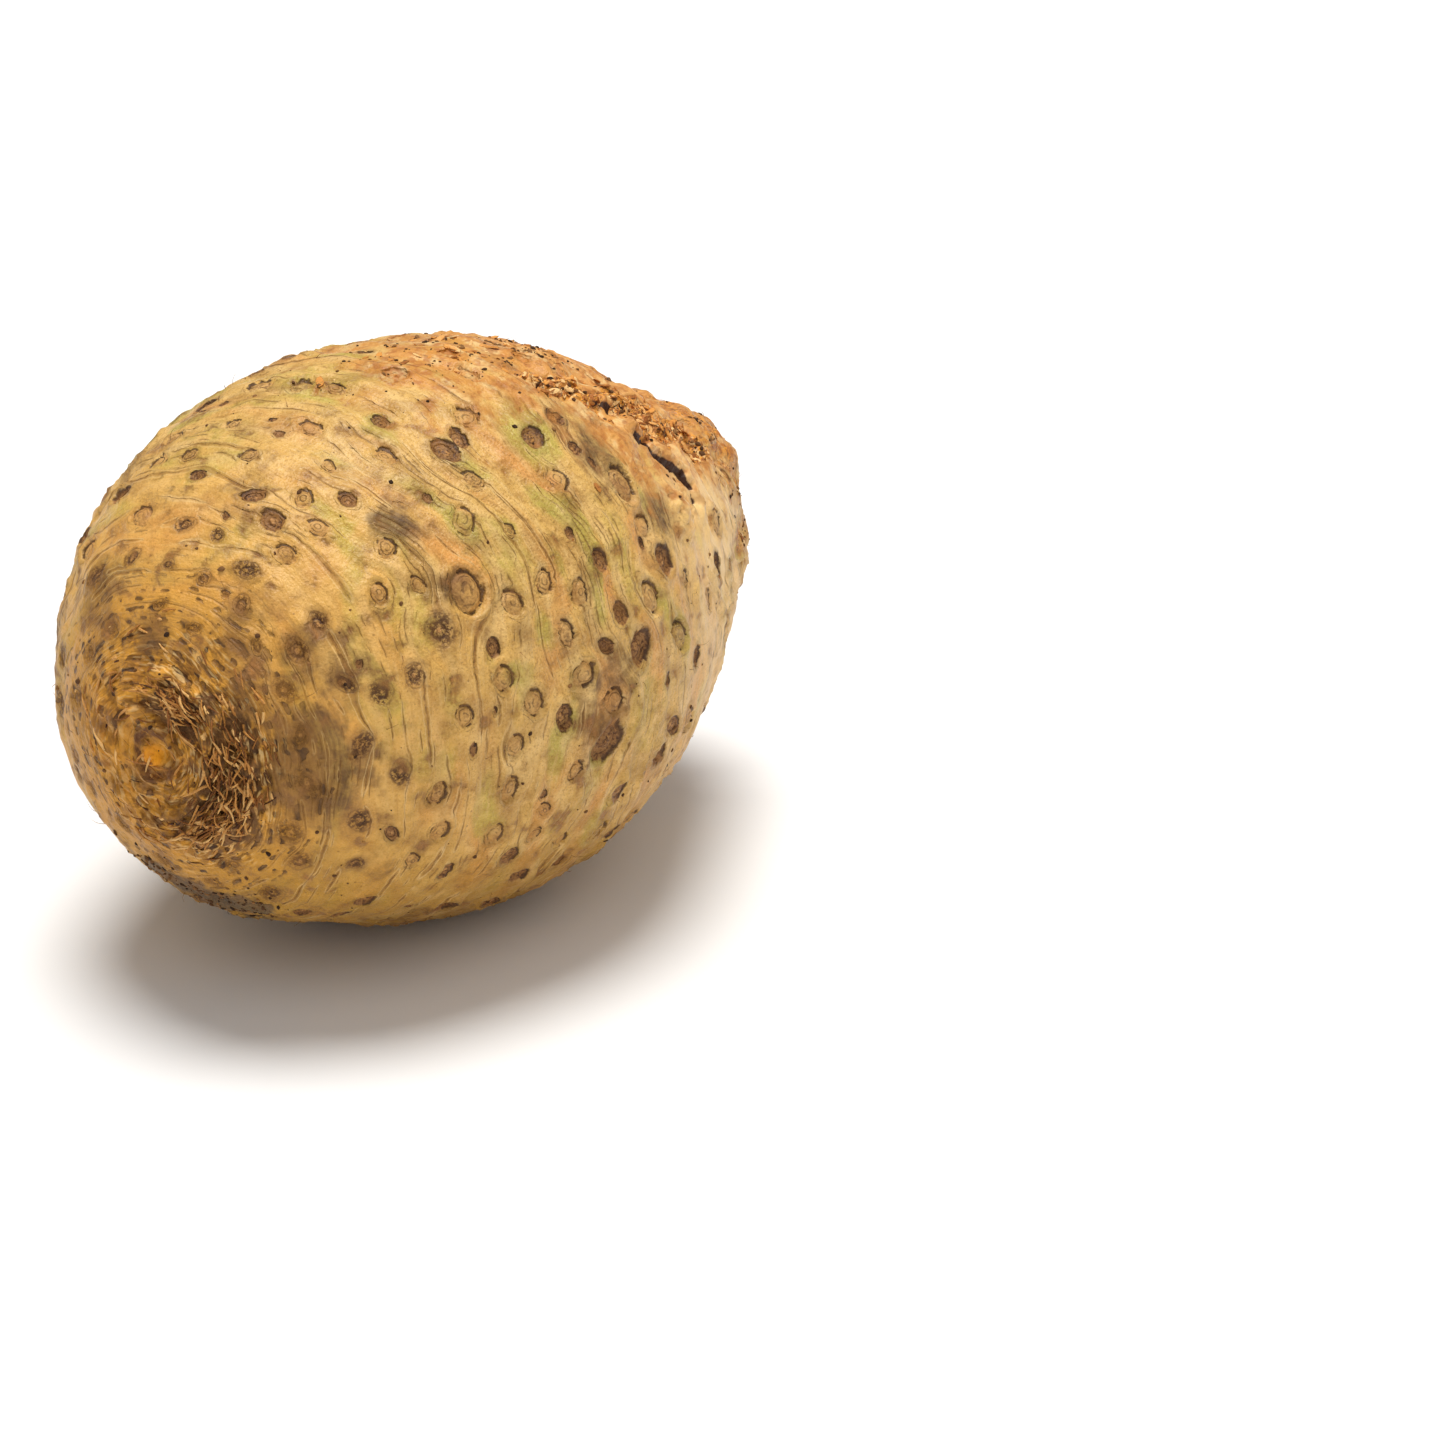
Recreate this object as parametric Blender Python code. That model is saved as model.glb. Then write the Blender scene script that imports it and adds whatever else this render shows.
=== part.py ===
"""A whole celeriac lying on its side: a swollen root with leaf scars, a fibrous crown and a rough root end."""
import math

import bmesh
import bpy
import numpy as np

# The root lies along X, with the bud at -X and the root end at +X.
# A place on the skin is given by its reach and its turn. Reach is the distance over the skin from the bud,
# in metres. Turn is the angle round the root, in degrees: 0 at the top and 90 at the -Y side.
ROOT_LENGTH = 0.1785
# Girths at even steps from the bud to the root end. Times the sine of the profile's angle they are half widths.
GIRTHS = (0.0683, 0.0640, 0.0612, 0.0600, 0.0547, 0.0517, 0.0492)
PROFILE_STEPS = 720

# Swellings and hollows that take the root out of round:
# share of the length, turn, spread along as a share, spread round in degrees, height
FORMS = (
    (0.25, 315, 0.14, 30, 0.0023),
    (0.50, 345, 0.10, 22, -0.0014),
    (0.84, 8, 0.07, 28, -0.0042),
    (0.94, 45, 0.05, 30, 0.0058),
    (0.90, 90, 0.05, 22, -0.0005),
    (0.66, 112, 0.12, 25, 0.0010),
    (0.20, 166, 0.10, 22, -0.0018),
    (0.10, 245, 0.06, 30, 0.0014),
    (0.42, 262, 0.15, 36, 0.0014),
    (0.74, 238, 0.10, 30, -0.0026),
    (0.88, 275, 0.06, 34, 0.0024),
)
# The forms die away towards both ends of the axis, where all turns meet.
END_FADE = 0.25

# Low folds run round the root as growth rings, and wander a little. They fade in past the crown and out before
# the root end.
FOLD_SPACING = 0.0125
FOLD_HEIGHT = 0.0003
FOLD_WANDER = 0.0022
FOLD_WANDER_LENGTH = 0.045
FOLDS_IN = (0.020, 0.040)
FOLDS_OUT = (0.180, 0.205)

# Leaf and rootlet scars that stand out, each by reach, turn and length
DARK_SCARS = (
    (0.055, 7, 0.0050), (0.052, 16, 0.0060), (0.088, 30, 0.0070), (0.093, 29, 0.0060), (0.100, 8, 0.0060),
    (0.104, 63, 0.0055), (0.109, 82, 0.0080), (0.105, 74, 0.0050), (0.124, 69, 0.0070), (0.098, 98, 0.0100),
    (0.123, 103, 0.0060), (0.119, 108, 0.0060), (0.073, 70, 0.0045), (0.080, 122, 0.0050), (0.053, 138, 0.0050),
    (0.076, 142, 0.0060), (0.114, 127, 0.0050), (0.049, 111, 0.0040),
)
RING_SCARS = (
    (0.064, 341, 0.0040), (0.074, 346, 0.0040), (0.076, 5, 0.0060), (0.069, 16, 0.0040), (0.078, 23, 0.0050),
    (0.099, 26, 0.0060), (0.056, 26, 0.0045), (0.080, 44, 0.0065), (0.088, 38, 0.0050), (0.105, 46, 0.0060),
    (0.122, 52, 0.0085), (0.089, 62, 0.0055), (0.080, 63, 0.0055), (0.072, 57, 0.0090), (0.063, 40, 0.0045),
    (0.048, 25, 0.0050), (0.056, 48, 0.0050), (0.073, 77, 0.0055), (0.092, 82, 0.0060), (0.116, 74, 0.0080),
    (0.124, 84, 0.0080), (0.100, 90, 0.0060), (0.090, 102, 0.0050), (0.079, 84, 0.0060), (0.063, 82, 0.0045),
    (0.074, 92, 0.0050), (0.057, 100, 0.0055), (0.073, 114, 0.0055), (0.085, 117, 0.0040), (0.056, 120, 0.0040),
)
EYE_SCARS = (
    (0.035, 25, 0.0040), (0.041, 20, 0.0045), (0.043, 46, 0.0050), (0.037, 49, 0.0055), (0.031, 58, 0.0050),
    (0.031, 76, 0.0045), (0.031, 95, 0.0060), (0.042, 83, 0.0050), (0.049, 92, 0.0050), (0.055, 69, 0.0050),
    (0.048, 70, 0.0050), (0.042, 64, 0.0050), (0.042, 107, 0.0050), (0.030, 118, 0.0055), (0.035, 130, 0.0050),
    (0.063, 62, 0.0060),
)
# The rest are drawn in rows, close and small near the crown and wider apart towards the root end.
FIRST_ROW = 0.028
LAST_ROW = 0.192
ROW_GAP_NEAR = 0.0092
ROW_GAP_FAR = 0.0130
SCAR_GAP_NEAR = 0.0100
SCAR_GAP_FAR = 0.0142
ROW_JITTER = 0.36
SCAR_LENGTHS = (0.0032, 0.0068)
SCAR_CLEARANCE = 0.0022
SCAR_SEED = 17
# A scar is a little longer round the root than along it, and is a sunken pit inside a raised lip. The lip's
# place and width, and the pit's floor and edge, are shares of the scar's half length.
SCAR_ASPECT = 1.35
PIT_DEPTH = 0.0009
PIT_FLOOR = 0.35
LIP_HEIGHT = 0.00045
LIP_PLACE = 1.15
LIP_WIDTH = 0.35

# The bud stands on the crown's end in rings of old leaf bases.
BUD_RADIUS = 0.0030
BUD_HEIGHT = 0.0018
CROWN_RINGS = (0.0056, 0.0090, 0.0124, 0.0160)
CROWN_RING_WIDTH = 0.0011
CROWN_RING_HEIGHT = 0.0009
CROWN_RING_UNEVEN = 0.35
CROWN_RING_UNEVEN_LENGTH = 0.009
CROWN_ROUGHNESS = 0.00035
CROWN_ROUGH_LENGTH = 0.006
CROWN_REACH = 0.024
# A mat of dried leaf fibres lies in a crescent on the crown's lower side.
MAT_TURN = 112
MAT_TURN_SPREAD = 62
MAT_REACH = 0.0175
MAT_REACH_SPREAD = 0.0062
MAT_HEIGHT = 0.0014
MAT_UNEVEN = 0.6
MAT_UNEVEN_LENGTH = 0.005

# The root end was trimmed: a rough ragged face with the stubs of cut roots and cracks round it.
END_ROUGH_FROM = 0.172
END_ROUGH_TO = 0.196
END_ROUGHNESS = 0.0009
LUMP_LENGTH = 0.013
# The stump of the main root and the stubs of side roots: reach, turn, radius, height
STUBS = (
    (0.229, 130, 0.0120, 0.0036),
    (0.208, 96, 0.0062, 0.0026),
    (0.203, 205, 0.0072, 0.0030),
    (0.196, 262, 0.0062, 0.0024),
    (0.205, 322, 0.0070, 0.0030),
    (0.186, 150, 0.0050, 0.0020),
    (0.184, 5, 0.0052, 0.0020),
)
# A stub's wall and its dished face, as shares of its radius, and the dish's depth as a share of its height
STUB_WALL = (0.75, 1.15)
STUB_FACE = (0.15, 0.75)
STUB_DISH = 0.4
# A callus closed over an old wound beside the saddle: reach, turn, radius, height
CALLUS = (0.138, 63, 0.0036, 0.0008)
# A raw strip of torn reddish skin runs along the top from the saddle to the root end.
RAW_TURN = 28
RAW_TURN_SPREAD = 30
RAW_FROM = 0.118
RAW_TO = 0.132
RAW_ROUGHNESS = 0.00065
# Cracks, each by its points (reach, turn), its width and its depth. Their lips stand up by a share of the depth.
CRACK_LIP = 0.3
CRACKS = (
    (((0.124, 26), (0.130, 33), (0.137, 38)), 0.0016, 0.0012),
    (((0.136, 44), (0.143, 50), (0.149, 54), (0.153, 61)), 0.0034, 0.0026),
    (((0.160, 92), (0.172, 96), (0.186, 90)), 0.0020, 0.0014),
    (((0.176, 180), (0.190, 174), (0.206, 168)), 0.0026, 0.0020),
    (((0.172, 246), (0.188, 240), (0.200, 236)), 0.0022, 0.0018),
    (((0.160, 300), (0.176, 296), (0.194, 290)), 0.0026, 0.0020),
    (((0.182, 340), (0.196, 345), (0.214, 352)), 0.0022, 0.0018),
)

# Dried fibres that stand off the crown, thin at the tip and sunk in at the root
WISP_COUNT = 34
WISP_SEED = 5
WISP_LENGTHS = (0.0065, 0.0125)
WISP_WIDTH = 0.0015
WISP_TIP = 0.45
WISP_SUNK = 0.0012
WISP_LIFT = (0.0011, 0.0024)
WISP_HEADING_SPREAD = 32
WISP_RINGS = 4

# The mesh has its points where the form needs them: rings at each scar, close rows on the crown and the rough
# places, and wide rows on plain skin.
CROWN_POINT_GAP = 0.0022
END_POINT_GAP = 0.0042
RAW_POINT_GAP = 0.0046
PLAIN_POINT_GAP = 0.0070
CRACK_POINT_GAP = 0.0022
CRACK_PATH_GAP = 0.0006
# Rings round a scar's middle: how far out as a share of its half length, and how many points
SCAR_RINGS = ((0.50, 4), (1.12, 6))
SMALL_SCAR_RINGS = ((1.0, 5),)
SMALL_SCAR = 0.0042
STUB_RINGS = ((0.45, 6), (0.85, 10), (1.15, 10))
# A row's point is left out where a ring's point is nearer than this share of the row's gap.
POINT_CLEARANCE = 0.62
# The flat spot under the root's weight that it rests on
FLAT_DEPTH = 0.0010
FLAT_SMOOTH_TURN = 20
FLAT_SMOOTH_REACH = 0.026

# Seeds of the unevenness of each kind
FOLD_SEED = 3
RING_SEED = 8
CROWN_SEED = 9
MAT_SEED = 10
LUMP_SEED = 21

SKIN_COLOUR = (0.52, 0.36, 0.16, 1.0)
SKIN_ROUGHNESS = 0.72


def profile_tables():
    """The side outline: reach, place along the axis, half width and the outward normal, bud to root end."""
    angle = np.linspace(0, np.pi, PROFILE_STEPS)
    share = (1 - np.cos(angle)) / 2
    girth = np.polynomial.Polynomial.fit(np.linspace(0, 1, len(GIRTHS)), GIRTHS, len(GIRTHS) - 1)
    along = (share - 0.5) * ROOT_LENGTH
    out = np.sin(angle) * girth(share)
    reach = np.concatenate([[0], np.cumsum(np.hypot(np.diff(along), np.diff(out)))])
    normal_along = -np.gradient(out, angle)
    normal_out = np.gradient(along, angle)
    size = np.hypot(normal_along, normal_out)
    return reach, along, out, normal_along / size, normal_out / size


REACH, ALONG, OUT, NORMAL_ALONG, NORMAL_OUT = profile_tables()
WHOLE_REACH = REACH[-1]


def smooth_step(value, low, high):
    """0 below low, 1 above high and a smooth rise between them."""
    share = np.clip((value - low) / (high - low), 0, 1)
    return share * share * (3 - 2 * share)


def hill(value, centre, spread):
    """A smooth hill of height 1 at the centre."""
    return np.exp(-((value - centre) / spread) ** 2)


def turn_from(turn, centre):
    """How far a turn lies from another, in degrees, the short way round."""
    return (turn - centre + 180) % 360 - 180


def half_width(reach):
    return np.interp(reach, REACH, OUT)


def ripple(points, wavelength, seed, waves=14):
    """Smooth unevenness of about -1 to 1: seeded waves that cross in all directions."""
    draw = np.random.default_rng(seed)
    ways = draw.normal(size=(waves, 3))
    ways /= np.linalg.norm(ways, axis=1, keepdims=True)
    lengths = wavelength * draw.uniform(0.7, 1.4, (waves, 1))
    starts = draw.uniform(0, 2 * np.pi, waves)
    return np.sin(points @ (2 * np.pi * ways / lengths).T + starts).sum(axis=1) / math.sqrt(waves / 2)


def skin_points(reach, turn, height):
    """Points on the root at a reach and turn, raised by a height over the plain form."""
    along = np.interp(reach, REACH, ALONG)
    out = np.interp(reach, REACH, OUT)
    normal_along = np.interp(reach, REACH, NORMAL_ALONG)
    normal_out = np.interp(reach, REACH, NORMAL_OUT)
    share = along / ROOT_LENGTH + 0.5
    sine = 2 * np.sqrt(np.clip(share * (1 - share), 0, None))
    lift = np.zeros_like(reach)
    for form_share, form_turn, spread, turn_spread, form_height in FORMS:
        across = hill(turn_from(turn, form_turn), 0, turn_spread)
        lift = lift + form_height * hill(share, form_share, spread) * across
    lift = lift * (1 - hill(sine, 0, END_FADE)) + height
    radius = out + lift * normal_out
    angle = np.radians(turn)
    return np.stack([along + lift * normal_along, -radius * np.sin(angle), radius * np.cos(angle)], axis=-1)


def scar_layout():
    """All scars as (reach, turn, length): those that stand out, then rows of others that keep clear of them."""
    draw = np.random.default_rng(SCAR_SEED)
    scars = list(DARK_SCARS + RING_SCARS + EYE_SCARS)
    row = FIRST_ROW
    while row < LAST_ROW:
        share = (row - FIRST_ROW) / (LAST_ROW - FIRST_ROW)
        row_gap = ROW_GAP_NEAR + share * (ROW_GAP_FAR - ROW_GAP_NEAR)
        scar_gap = SCAR_GAP_NEAR + share * (SCAR_GAP_FAR - SCAR_GAP_NEAR)
        count = int(2 * np.pi * half_width(row) / scar_gap)
        start = draw.uniform(0, 360)
        for step in range(count):
            reach = row + row_gap * draw.uniform(-ROW_JITTER, ROW_JITTER)
            turn = (start + 360 / count * (step + draw.uniform(-ROW_JITTER, ROW_JITTER))) % 360
            length = draw.uniform(*SCAR_LENGTHS)
            if scar_fits(reach, turn, length, scars):
                scars.append((reach, turn, length))
        row += row_gap
    return scars


def scar_fits(reach, turn, length, scars):
    """True where a scar keeps clear of the others, the flat spot, the callus and the cracks."""
    if abs(turn_from(turn, 180)) < FLAT_SMOOTH_TURN and abs(reach - flat_reach()) < FLAT_SMOOTH_REACH:
        return False
    taken = list(scars)
    taken.append((CALLUS[0], CALLUS[1], 2 * CALLUS[2]))
    for points, width, _ in CRACKS:
        taken.extend((point_reach, point_turn, 2 * width) for point_reach, point_turn in points)
    for other_reach, other_turn, other_length in taken:
        across = math.radians(turn_from(turn, other_turn)) * half_width(reach)
        apart = math.hypot(reach - other_reach, across)
        if apart < (length + other_length) / 2 + SCAR_CLEARANCE:
            return False
    return True


def flat_reach():
    """The reach of the lowest line of the root, where it is widest."""
    return REACH[int(np.argmax(OUT))]


def scar_relief(reach, turn):
    """Pits with raised lips, one for each scar."""
    relief = np.zeros_like(reach)
    for scar_reach, scar_turn, length in scar_layout():
        across = np.radians(turn_from(turn, scar_turn)) * half_width(scar_reach)
        away = np.hypot(across, (reach - scar_reach) * SCAR_ASPECT) / (length / 2)
        size = min(1.0, length / np.mean(SCAR_LENGTHS))
        relief += size * LIP_HEIGHT * hill(away, LIP_PLACE, LIP_WIDTH)
        relief -= size * PIT_DEPTH * (1 - smooth_step(away, PIT_FLOOR, 1.0))
    return relief


def fold_relief(reach, points):
    """Growth rings that wander a little."""
    place = reach + FOLD_WANDER * ripple(points, FOLD_WANDER_LENGTH, FOLD_SEED)
    ends = smooth_step(reach, *FOLDS_IN) * (1 - smooth_step(reach, *FOLDS_OUT))
    return FOLD_HEIGHT * np.sin(2 * np.pi * place / FOLD_SPACING) * ends


def crown_relief(reach, turn, points):
    """The bud, the rings of leaf bases round it and the mat of dried fibres."""
    relief = BUD_HEIGHT * (1 - smooth_step(reach, 0.3 * BUD_RADIUS, 1.3 * BUD_RADIUS))
    uneven = 1 + CROWN_RING_UNEVEN * ripple(points, CROWN_RING_UNEVEN_LENGTH, RING_SEED)
    for ring in CROWN_RINGS:
        relief += CROWN_RING_HEIGHT * hill(reach, ring, CROWN_RING_WIDTH) * uneven
    crown = 1 - smooth_step(reach, 0.7 * CROWN_REACH, CROWN_REACH)
    relief += CROWN_ROUGHNESS * crown * ripple(points, CROWN_ROUGH_LENGTH, CROWN_SEED)
    mat = hill(turn_from(turn, MAT_TURN), 0, MAT_TURN_SPREAD) * hill(reach, MAT_REACH, MAT_REACH_SPREAD)
    return relief + MAT_HEIGHT * mat * (1 + MAT_UNEVEN * ripple(points, MAT_UNEVEN_LENGTH, MAT_SEED))


def crack_relief(points):
    """Narrow valleys along the cracks, measured from points set closely along each."""
    relief = np.zeros(len(points))
    for corners, width, depth in CRACKS:
        path = skin_points(*crack_path(corners, CRACK_PATH_GAP), 0)
        away = np.min(np.linalg.norm(points[:, None, :] - path[None, :, :], axis=2), axis=1)
        relief -= depth * hill(away, 0, width / 2)
        relief += CRACK_LIP * depth * hill(away, width, width / 2)
    return relief


def stub_relief(points):
    """Round stubs of cut roots with a dished face, and the callus."""
    relief = np.zeros(len(points))
    for reach, turn, radius, height in STUBS + (CALLUS,):
        middle = skin_points(np.array([reach]), np.array([float(turn)]), 0)
        away = np.linalg.norm(points - middle, axis=1) / radius
        relief += height * (1 - smooth_step(away, *STUB_WALL))
        relief -= STUB_DISH * height * (1 - smooth_step(away, *STUB_FACE))
    return relief


def end_relief(reach, turn, points):
    """The torn strip along the top and the rough trimmed root end with its stubs and cracks."""
    raw_turn = hill(turn_from(turn, RAW_TURN), 0, RAW_TURN_SPREAD)
    raw = raw_turn * smooth_step(reach, RAW_FROM, RAW_TO)
    end = smooth_step(reach, END_ROUGH_FROM, END_ROUGH_TO)
    lumps = ripple(points, LUMP_LENGTH, LUMP_SEED)
    relief = (RAW_ROUGHNESS * raw * (1 - end) + END_ROUGHNESS * end) * lumps
    return relief + crack_relief(points) + stub_relief(points)


def ball_directions(reach, turn):
    """Where a place on the skin lies on a unit ball, bud at -X, with reach in step with the angle from the bud."""
    polar = np.asarray(reach) / WHOLE_REACH * np.pi
    angle = np.radians(turn)
    return np.stack([-np.cos(polar), -np.sin(polar) * np.sin(angle), np.sin(polar) * np.cos(angle)], axis=-1)


def places_of(directions):
    """The reach and turn of directions from the ball's middle."""
    reach = np.arccos(np.clip(-directions[:, 0], -1, 1)) / np.pi * WHOLE_REACH
    return reach, np.degrees(np.arctan2(-directions[:, 1], directions[:, 2])) % 360


def ring_directions(reach, turn, radius, count, aspect=1.0):
    """A ring of places round one place: radius is measured round the root, and radius over aspect along it."""
    middle = ball_directions(reach, turn)
    onward = ball_directions(reach + 0.0001, turn) - middle
    onward /= np.linalg.norm(onward)
    across = np.cross(middle, onward)
    polar = reach / WHOLE_REACH * np.pi
    angle = np.linspace(0, 2 * np.pi, count, endpoint=False) + 0.4
    along_part = np.cos(angle) * radius / aspect * np.pi / WHOLE_REACH
    across_part = np.sin(angle) * radius * math.sin(polar) / half_width(reach)
    ring = middle + along_part[:, None] * onward + across_part[:, None] * across
    return ring / np.linalg.norm(ring, axis=1, keepdims=True)


def feature_directions():
    """The points that the scars, the stubs, the callus and the cracks need."""
    groups = []
    for reach, turn, length in scar_layout():
        groups.append(ball_directions([reach], [turn]))
        rings = SCAR_RINGS if length > SMALL_SCAR else SMALL_SCAR_RINGS
        for share, count in rings:
            groups.append(ring_directions(reach, turn, share * length / 2, count, SCAR_ASPECT))
    for reach, turn, radius, _ in STUBS + (CALLUS,):
        groups.append(ball_directions([reach], [turn]))
        for share, count in STUB_RINGS:
            groups.append(ring_directions(reach, turn, share * radius, count))
    for corners, width, _ in CRACKS:
        groups.extend(crack_directions(corners, width))
    return np.concatenate(groups)


def crack_path(corners, gap):
    """Places along a crack, a gap apart."""
    reaches, turns = (np.array(values, dtype=float) for values in zip(*corners))
    steps = np.linalg.norm(np.diff(skin_points(reaches, turns, 0), axis=0), axis=1)
    so_far = np.concatenate([[0], np.cumsum(steps)])
    ticks = np.linspace(0, so_far[-1], int(so_far[-1] / gap) + 2)
    return np.interp(ticks, so_far, reaches), np.interp(ticks, so_far, turns)


def crack_directions(corners, width):
    """A line of points down the middle of a crack and one along each lip."""
    middle = ball_directions(*crack_path(corners, CRACK_POINT_GAP))
    across = np.cross(middle, np.gradient(middle, axis=0))
    across *= width * np.pi / WHOLE_REACH / np.linalg.norm(across, axis=1, keepdims=True)
    lines = [middle, (middle + across)[::2], (middle - across)[::2]]
    return [line / np.linalg.norm(line, axis=1, keepdims=True) for line in lines]


def row_point_gap(reach):
    """How far apart the rows' points are: close on the crown, wide on plain skin, closer on the root end."""
    past_crown = smooth_step(reach, CROWN_REACH, 1.4 * CROWN_REACH)
    at_end = smooth_step(reach, 0.92 * END_ROUGH_FROM, END_ROUGH_FROM)
    gap = CROWN_POINT_GAP + past_crown * (PLAIN_POINT_GAP - CROWN_POINT_GAP)
    return gap + at_end * (END_POINT_GAP - gap)


def row_directions(features):
    """Rows of points over the rest of the skin, left out where a feature has its own."""
    rows = []
    reach = CROWN_POINT_GAP
    odd = False
    while reach < WHOLE_REACH:
        gap = row_point_gap(reach)
        count = max(5, round(2 * np.pi * half_width(reach) / gap))
        turns = (np.arange(count) + 0.5 * odd) * 360 / count
        rows.append(thinned(ball_directions(np.full(count, reach), turns), features, gap))
        reach += gap * math.sqrt(3) / 2
        odd = not odd
    return rows


def thinned(directions, features, gap):
    """The directions that keep clear of the features' points."""
    near = gap * POINT_CLEARANCE * np.pi / WHOLE_REACH
    away = np.linalg.norm(directions[:, None, :] - features[None, :, :], axis=2).min(axis=1)
    return directions[away > near]


def raw_directions(features):
    """Close rows of points on the torn strip along the top."""
    reaches = np.arange(RAW_FROM, END_ROUGH_FROM, RAW_POINT_GAP)
    groups = []
    for index, reach in enumerate(reaches):
        step = math.degrees(RAW_POINT_GAP / half_width(reach))
        turns = RAW_TURN - RAW_TURN_SPREAD + step * (np.arange(2 * RAW_TURN_SPREAD / step) + 0.5 * (index % 2))
        groups.append(thinned(ball_directions(np.full(len(turns), reach), turns), features, RAW_POINT_GAP))
    return np.concatenate(groups)


def root_relief(reach, turn, plain):
    """All relief over the plain form, which fades out where the root rests so that the flat spot is whole."""
    relief = fold_relief(reach, plain)
    relief += scar_relief(reach, turn)
    relief += crown_relief(reach, turn, plain)
    relief += end_relief(reach, turn, plain)
    near_turn = hill(turn_from(turn, 180), 0, FLAT_SMOOTH_TURN)
    near_reach = hill(reach, flat_reach(), FLAT_SMOOTH_REACH)
    return relief * (1 - near_turn * near_reach)


def skinned_root():
    """The root as a closed mesh: the hull of the points on a ball, with each then laid on the skin."""
    features = feature_directions()
    features = np.concatenate([features, raw_directions(features)])
    ends = ball_directions([0.0, WHOLE_REACH], [0.0, 0.0])
    directions = np.concatenate([features, *row_directions(features), thinned(ends, features, CROWN_POINT_GAP)])
    bm = bmesh.new()
    for direction in directions:
        bm.verts.new(direction)
    bmesh.ops.convex_hull(bm, input=bm.verts[:])
    unused = [vert for vert in bm.verts if not vert.link_faces]
    bmesh.ops.delete(bm, geom=unused, context="VERTS")
    bmesh.ops.triangulate(bm, faces=bm.faces[:])
    bmesh.ops.recalc_face_normals(bm, faces=bm.faces[:])
    places = np.array([vert.co for vert in bm.verts])
    reach, turn = places_of(places / np.linalg.norm(places, axis=1, keepdims=True))
    points = skin_points(reach, turn, root_relief(reach, turn, skin_points(reach, turn, 0)))
    for vert, point in zip(bm.verts, points):
        vert.co = point
    mesh = bpy.data.meshes.new("celeriac")
    bm.to_mesh(mesh)
    bm.free()
    root = bpy.data.objects.new("celeriac", mesh)
    bpy.context.scene.collection.objects.link(root)
    return root


def keep_evaluated(thing):
    """Replaces an object's mesh with what its modifiers make of it."""
    evaluated = thing.evaluated_get(bpy.context.evaluated_depsgraph_get())
    mesh = bpy.data.meshes.new_from_object(evaluated)
    thing.modifiers.clear()
    thing.data = mesh


def cut_flat_spot(root):
    """Cuts the lowest part of the root off level, and stands the root on it at the origin."""
    bm = bmesh.new()
    bm.from_mesh(root.data)
    level = min(vert.co.z for vert in bm.verts) + FLAT_DEPTH
    everything = bm.verts[:] + bm.edges[:] + bm.faces[:]
    bmesh.ops.bisect_plane(bm, geom=everything, dist=1e-7, plane_co=(0, 0, level), plane_no=(0, 0, -1),
                           clear_outer=True)
    rim = [edge for edge in bm.edges if edge.is_boundary]
    bmesh.ops.edgeloop_fill(bm, edges=rim)
    bmesh.ops.triangulate(bm, faces=[face for face in bm.faces if len(face.verts) > 3])
    bmesh.ops.recalc_face_normals(bm, faces=bm.faces[:])
    bmesh.ops.translate(bm, verts=bm.verts[:], vec=(0, 0, -level))
    bm.to_mesh(root.data)
    bm.free()
    return level


def wisp_spine(draw):
    """The line of one fibre over the skin, from its sunk root to its lifted tip, and the way up along it."""
    turn = MAT_TURN + 0.75 * MAT_TURN_SPREAD * draw.normal()
    reach = MAT_REACH + MAT_REACH_SPREAD * draw.uniform(-0.9, 0.9)
    length = draw.uniform(*WISP_LENGTHS)
    # Most fibres lie round the bud, either way, and the rest point more or less away from it.
    heading = math.radians(WISP_HEADING_SPREAD * draw.normal() + draw.choice([0, 180]))
    share = np.linspace(0, 1, WISP_RINGS)
    path_reach = reach + abs(math.sin(heading)) * length * share
    path_turn = turn + np.degrees(math.cos(heading) * length * share / half_width(path_reach))
    height = (WISP_SUNK + draw.uniform(*WISP_LIFT)) * np.sqrt(share) - WISP_SUNK
    spine = skin_points(path_reach, path_turn, height)
    up = skin_points(path_reach, path_turn, height + WISP_WIDTH) - spine
    return spine, up / np.linalg.norm(up, axis=1, keepdims=True)


def wisp(index, draw, level):
    """One dried fibre: a thin four-sided strand that tapers to its tip."""
    spine, up = wisp_spine(draw)
    side = np.cross(np.gradient(spine, axis=0), up)
    side /= np.linalg.norm(side, axis=1, keepdims=True)
    half = draw.uniform(0.8, 1.25) * WISP_WIDTH / 2 * np.linspace(1, WISP_TIP, WISP_RINGS)
    bm = bmesh.new()
    rings = []
    for place, lift, wide, size in zip(spine - (0, 0, level), up, side, half):
        rings.append([bm.verts.new(place + size * way) for way in (wide, lift, -wide, -lift)])
    for lower, upper in zip(rings, rings[1:]):
        for here in range(len(lower)):
            onward = (here + 1) % len(lower)
            bm.faces.new((lower[here], lower[onward], upper[onward], upper[here]))
    bm.faces.new(rings[0])
    bm.faces.new(rings[-1])
    bmesh.ops.triangulate(bm, faces=bm.faces[:])
    bmesh.ops.recalc_face_normals(bm, faces=bm.faces[:])
    mesh = bpy.data.meshes.new(f"fibre_{index}")
    bm.to_mesh(mesh)
    bm.free()
    return bpy.data.objects.new(mesh.name, mesh)


def fuse_wisps(root, level):
    """Joins the dried fibres to the root as one body."""
    draw = np.random.default_rng(WISP_SEED)
    fibres = bpy.data.collections.new("fibres")
    bpy.context.scene.collection.children.link(fibres)
    for index in range(WISP_COUNT):
        fibre = wisp(index, draw, level)
        fibre.display_type = "WIRE"
        fibre.hide_render = True
        fibres.objects.link(fibre)
    union = root.modifiers.new("fibres", "BOOLEAN")
    union.operation = "UNION"
    union.solver = "EXACT"
    union.operand_type = "COLLECTION"
    union.collection = fibres
    bpy.context.view_layer.update()
    keep_evaluated(root)
    for fibre in list(fibres.objects):
        bpy.data.objects.remove(fibre)
    bpy.data.collections.remove(fibres)


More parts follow.
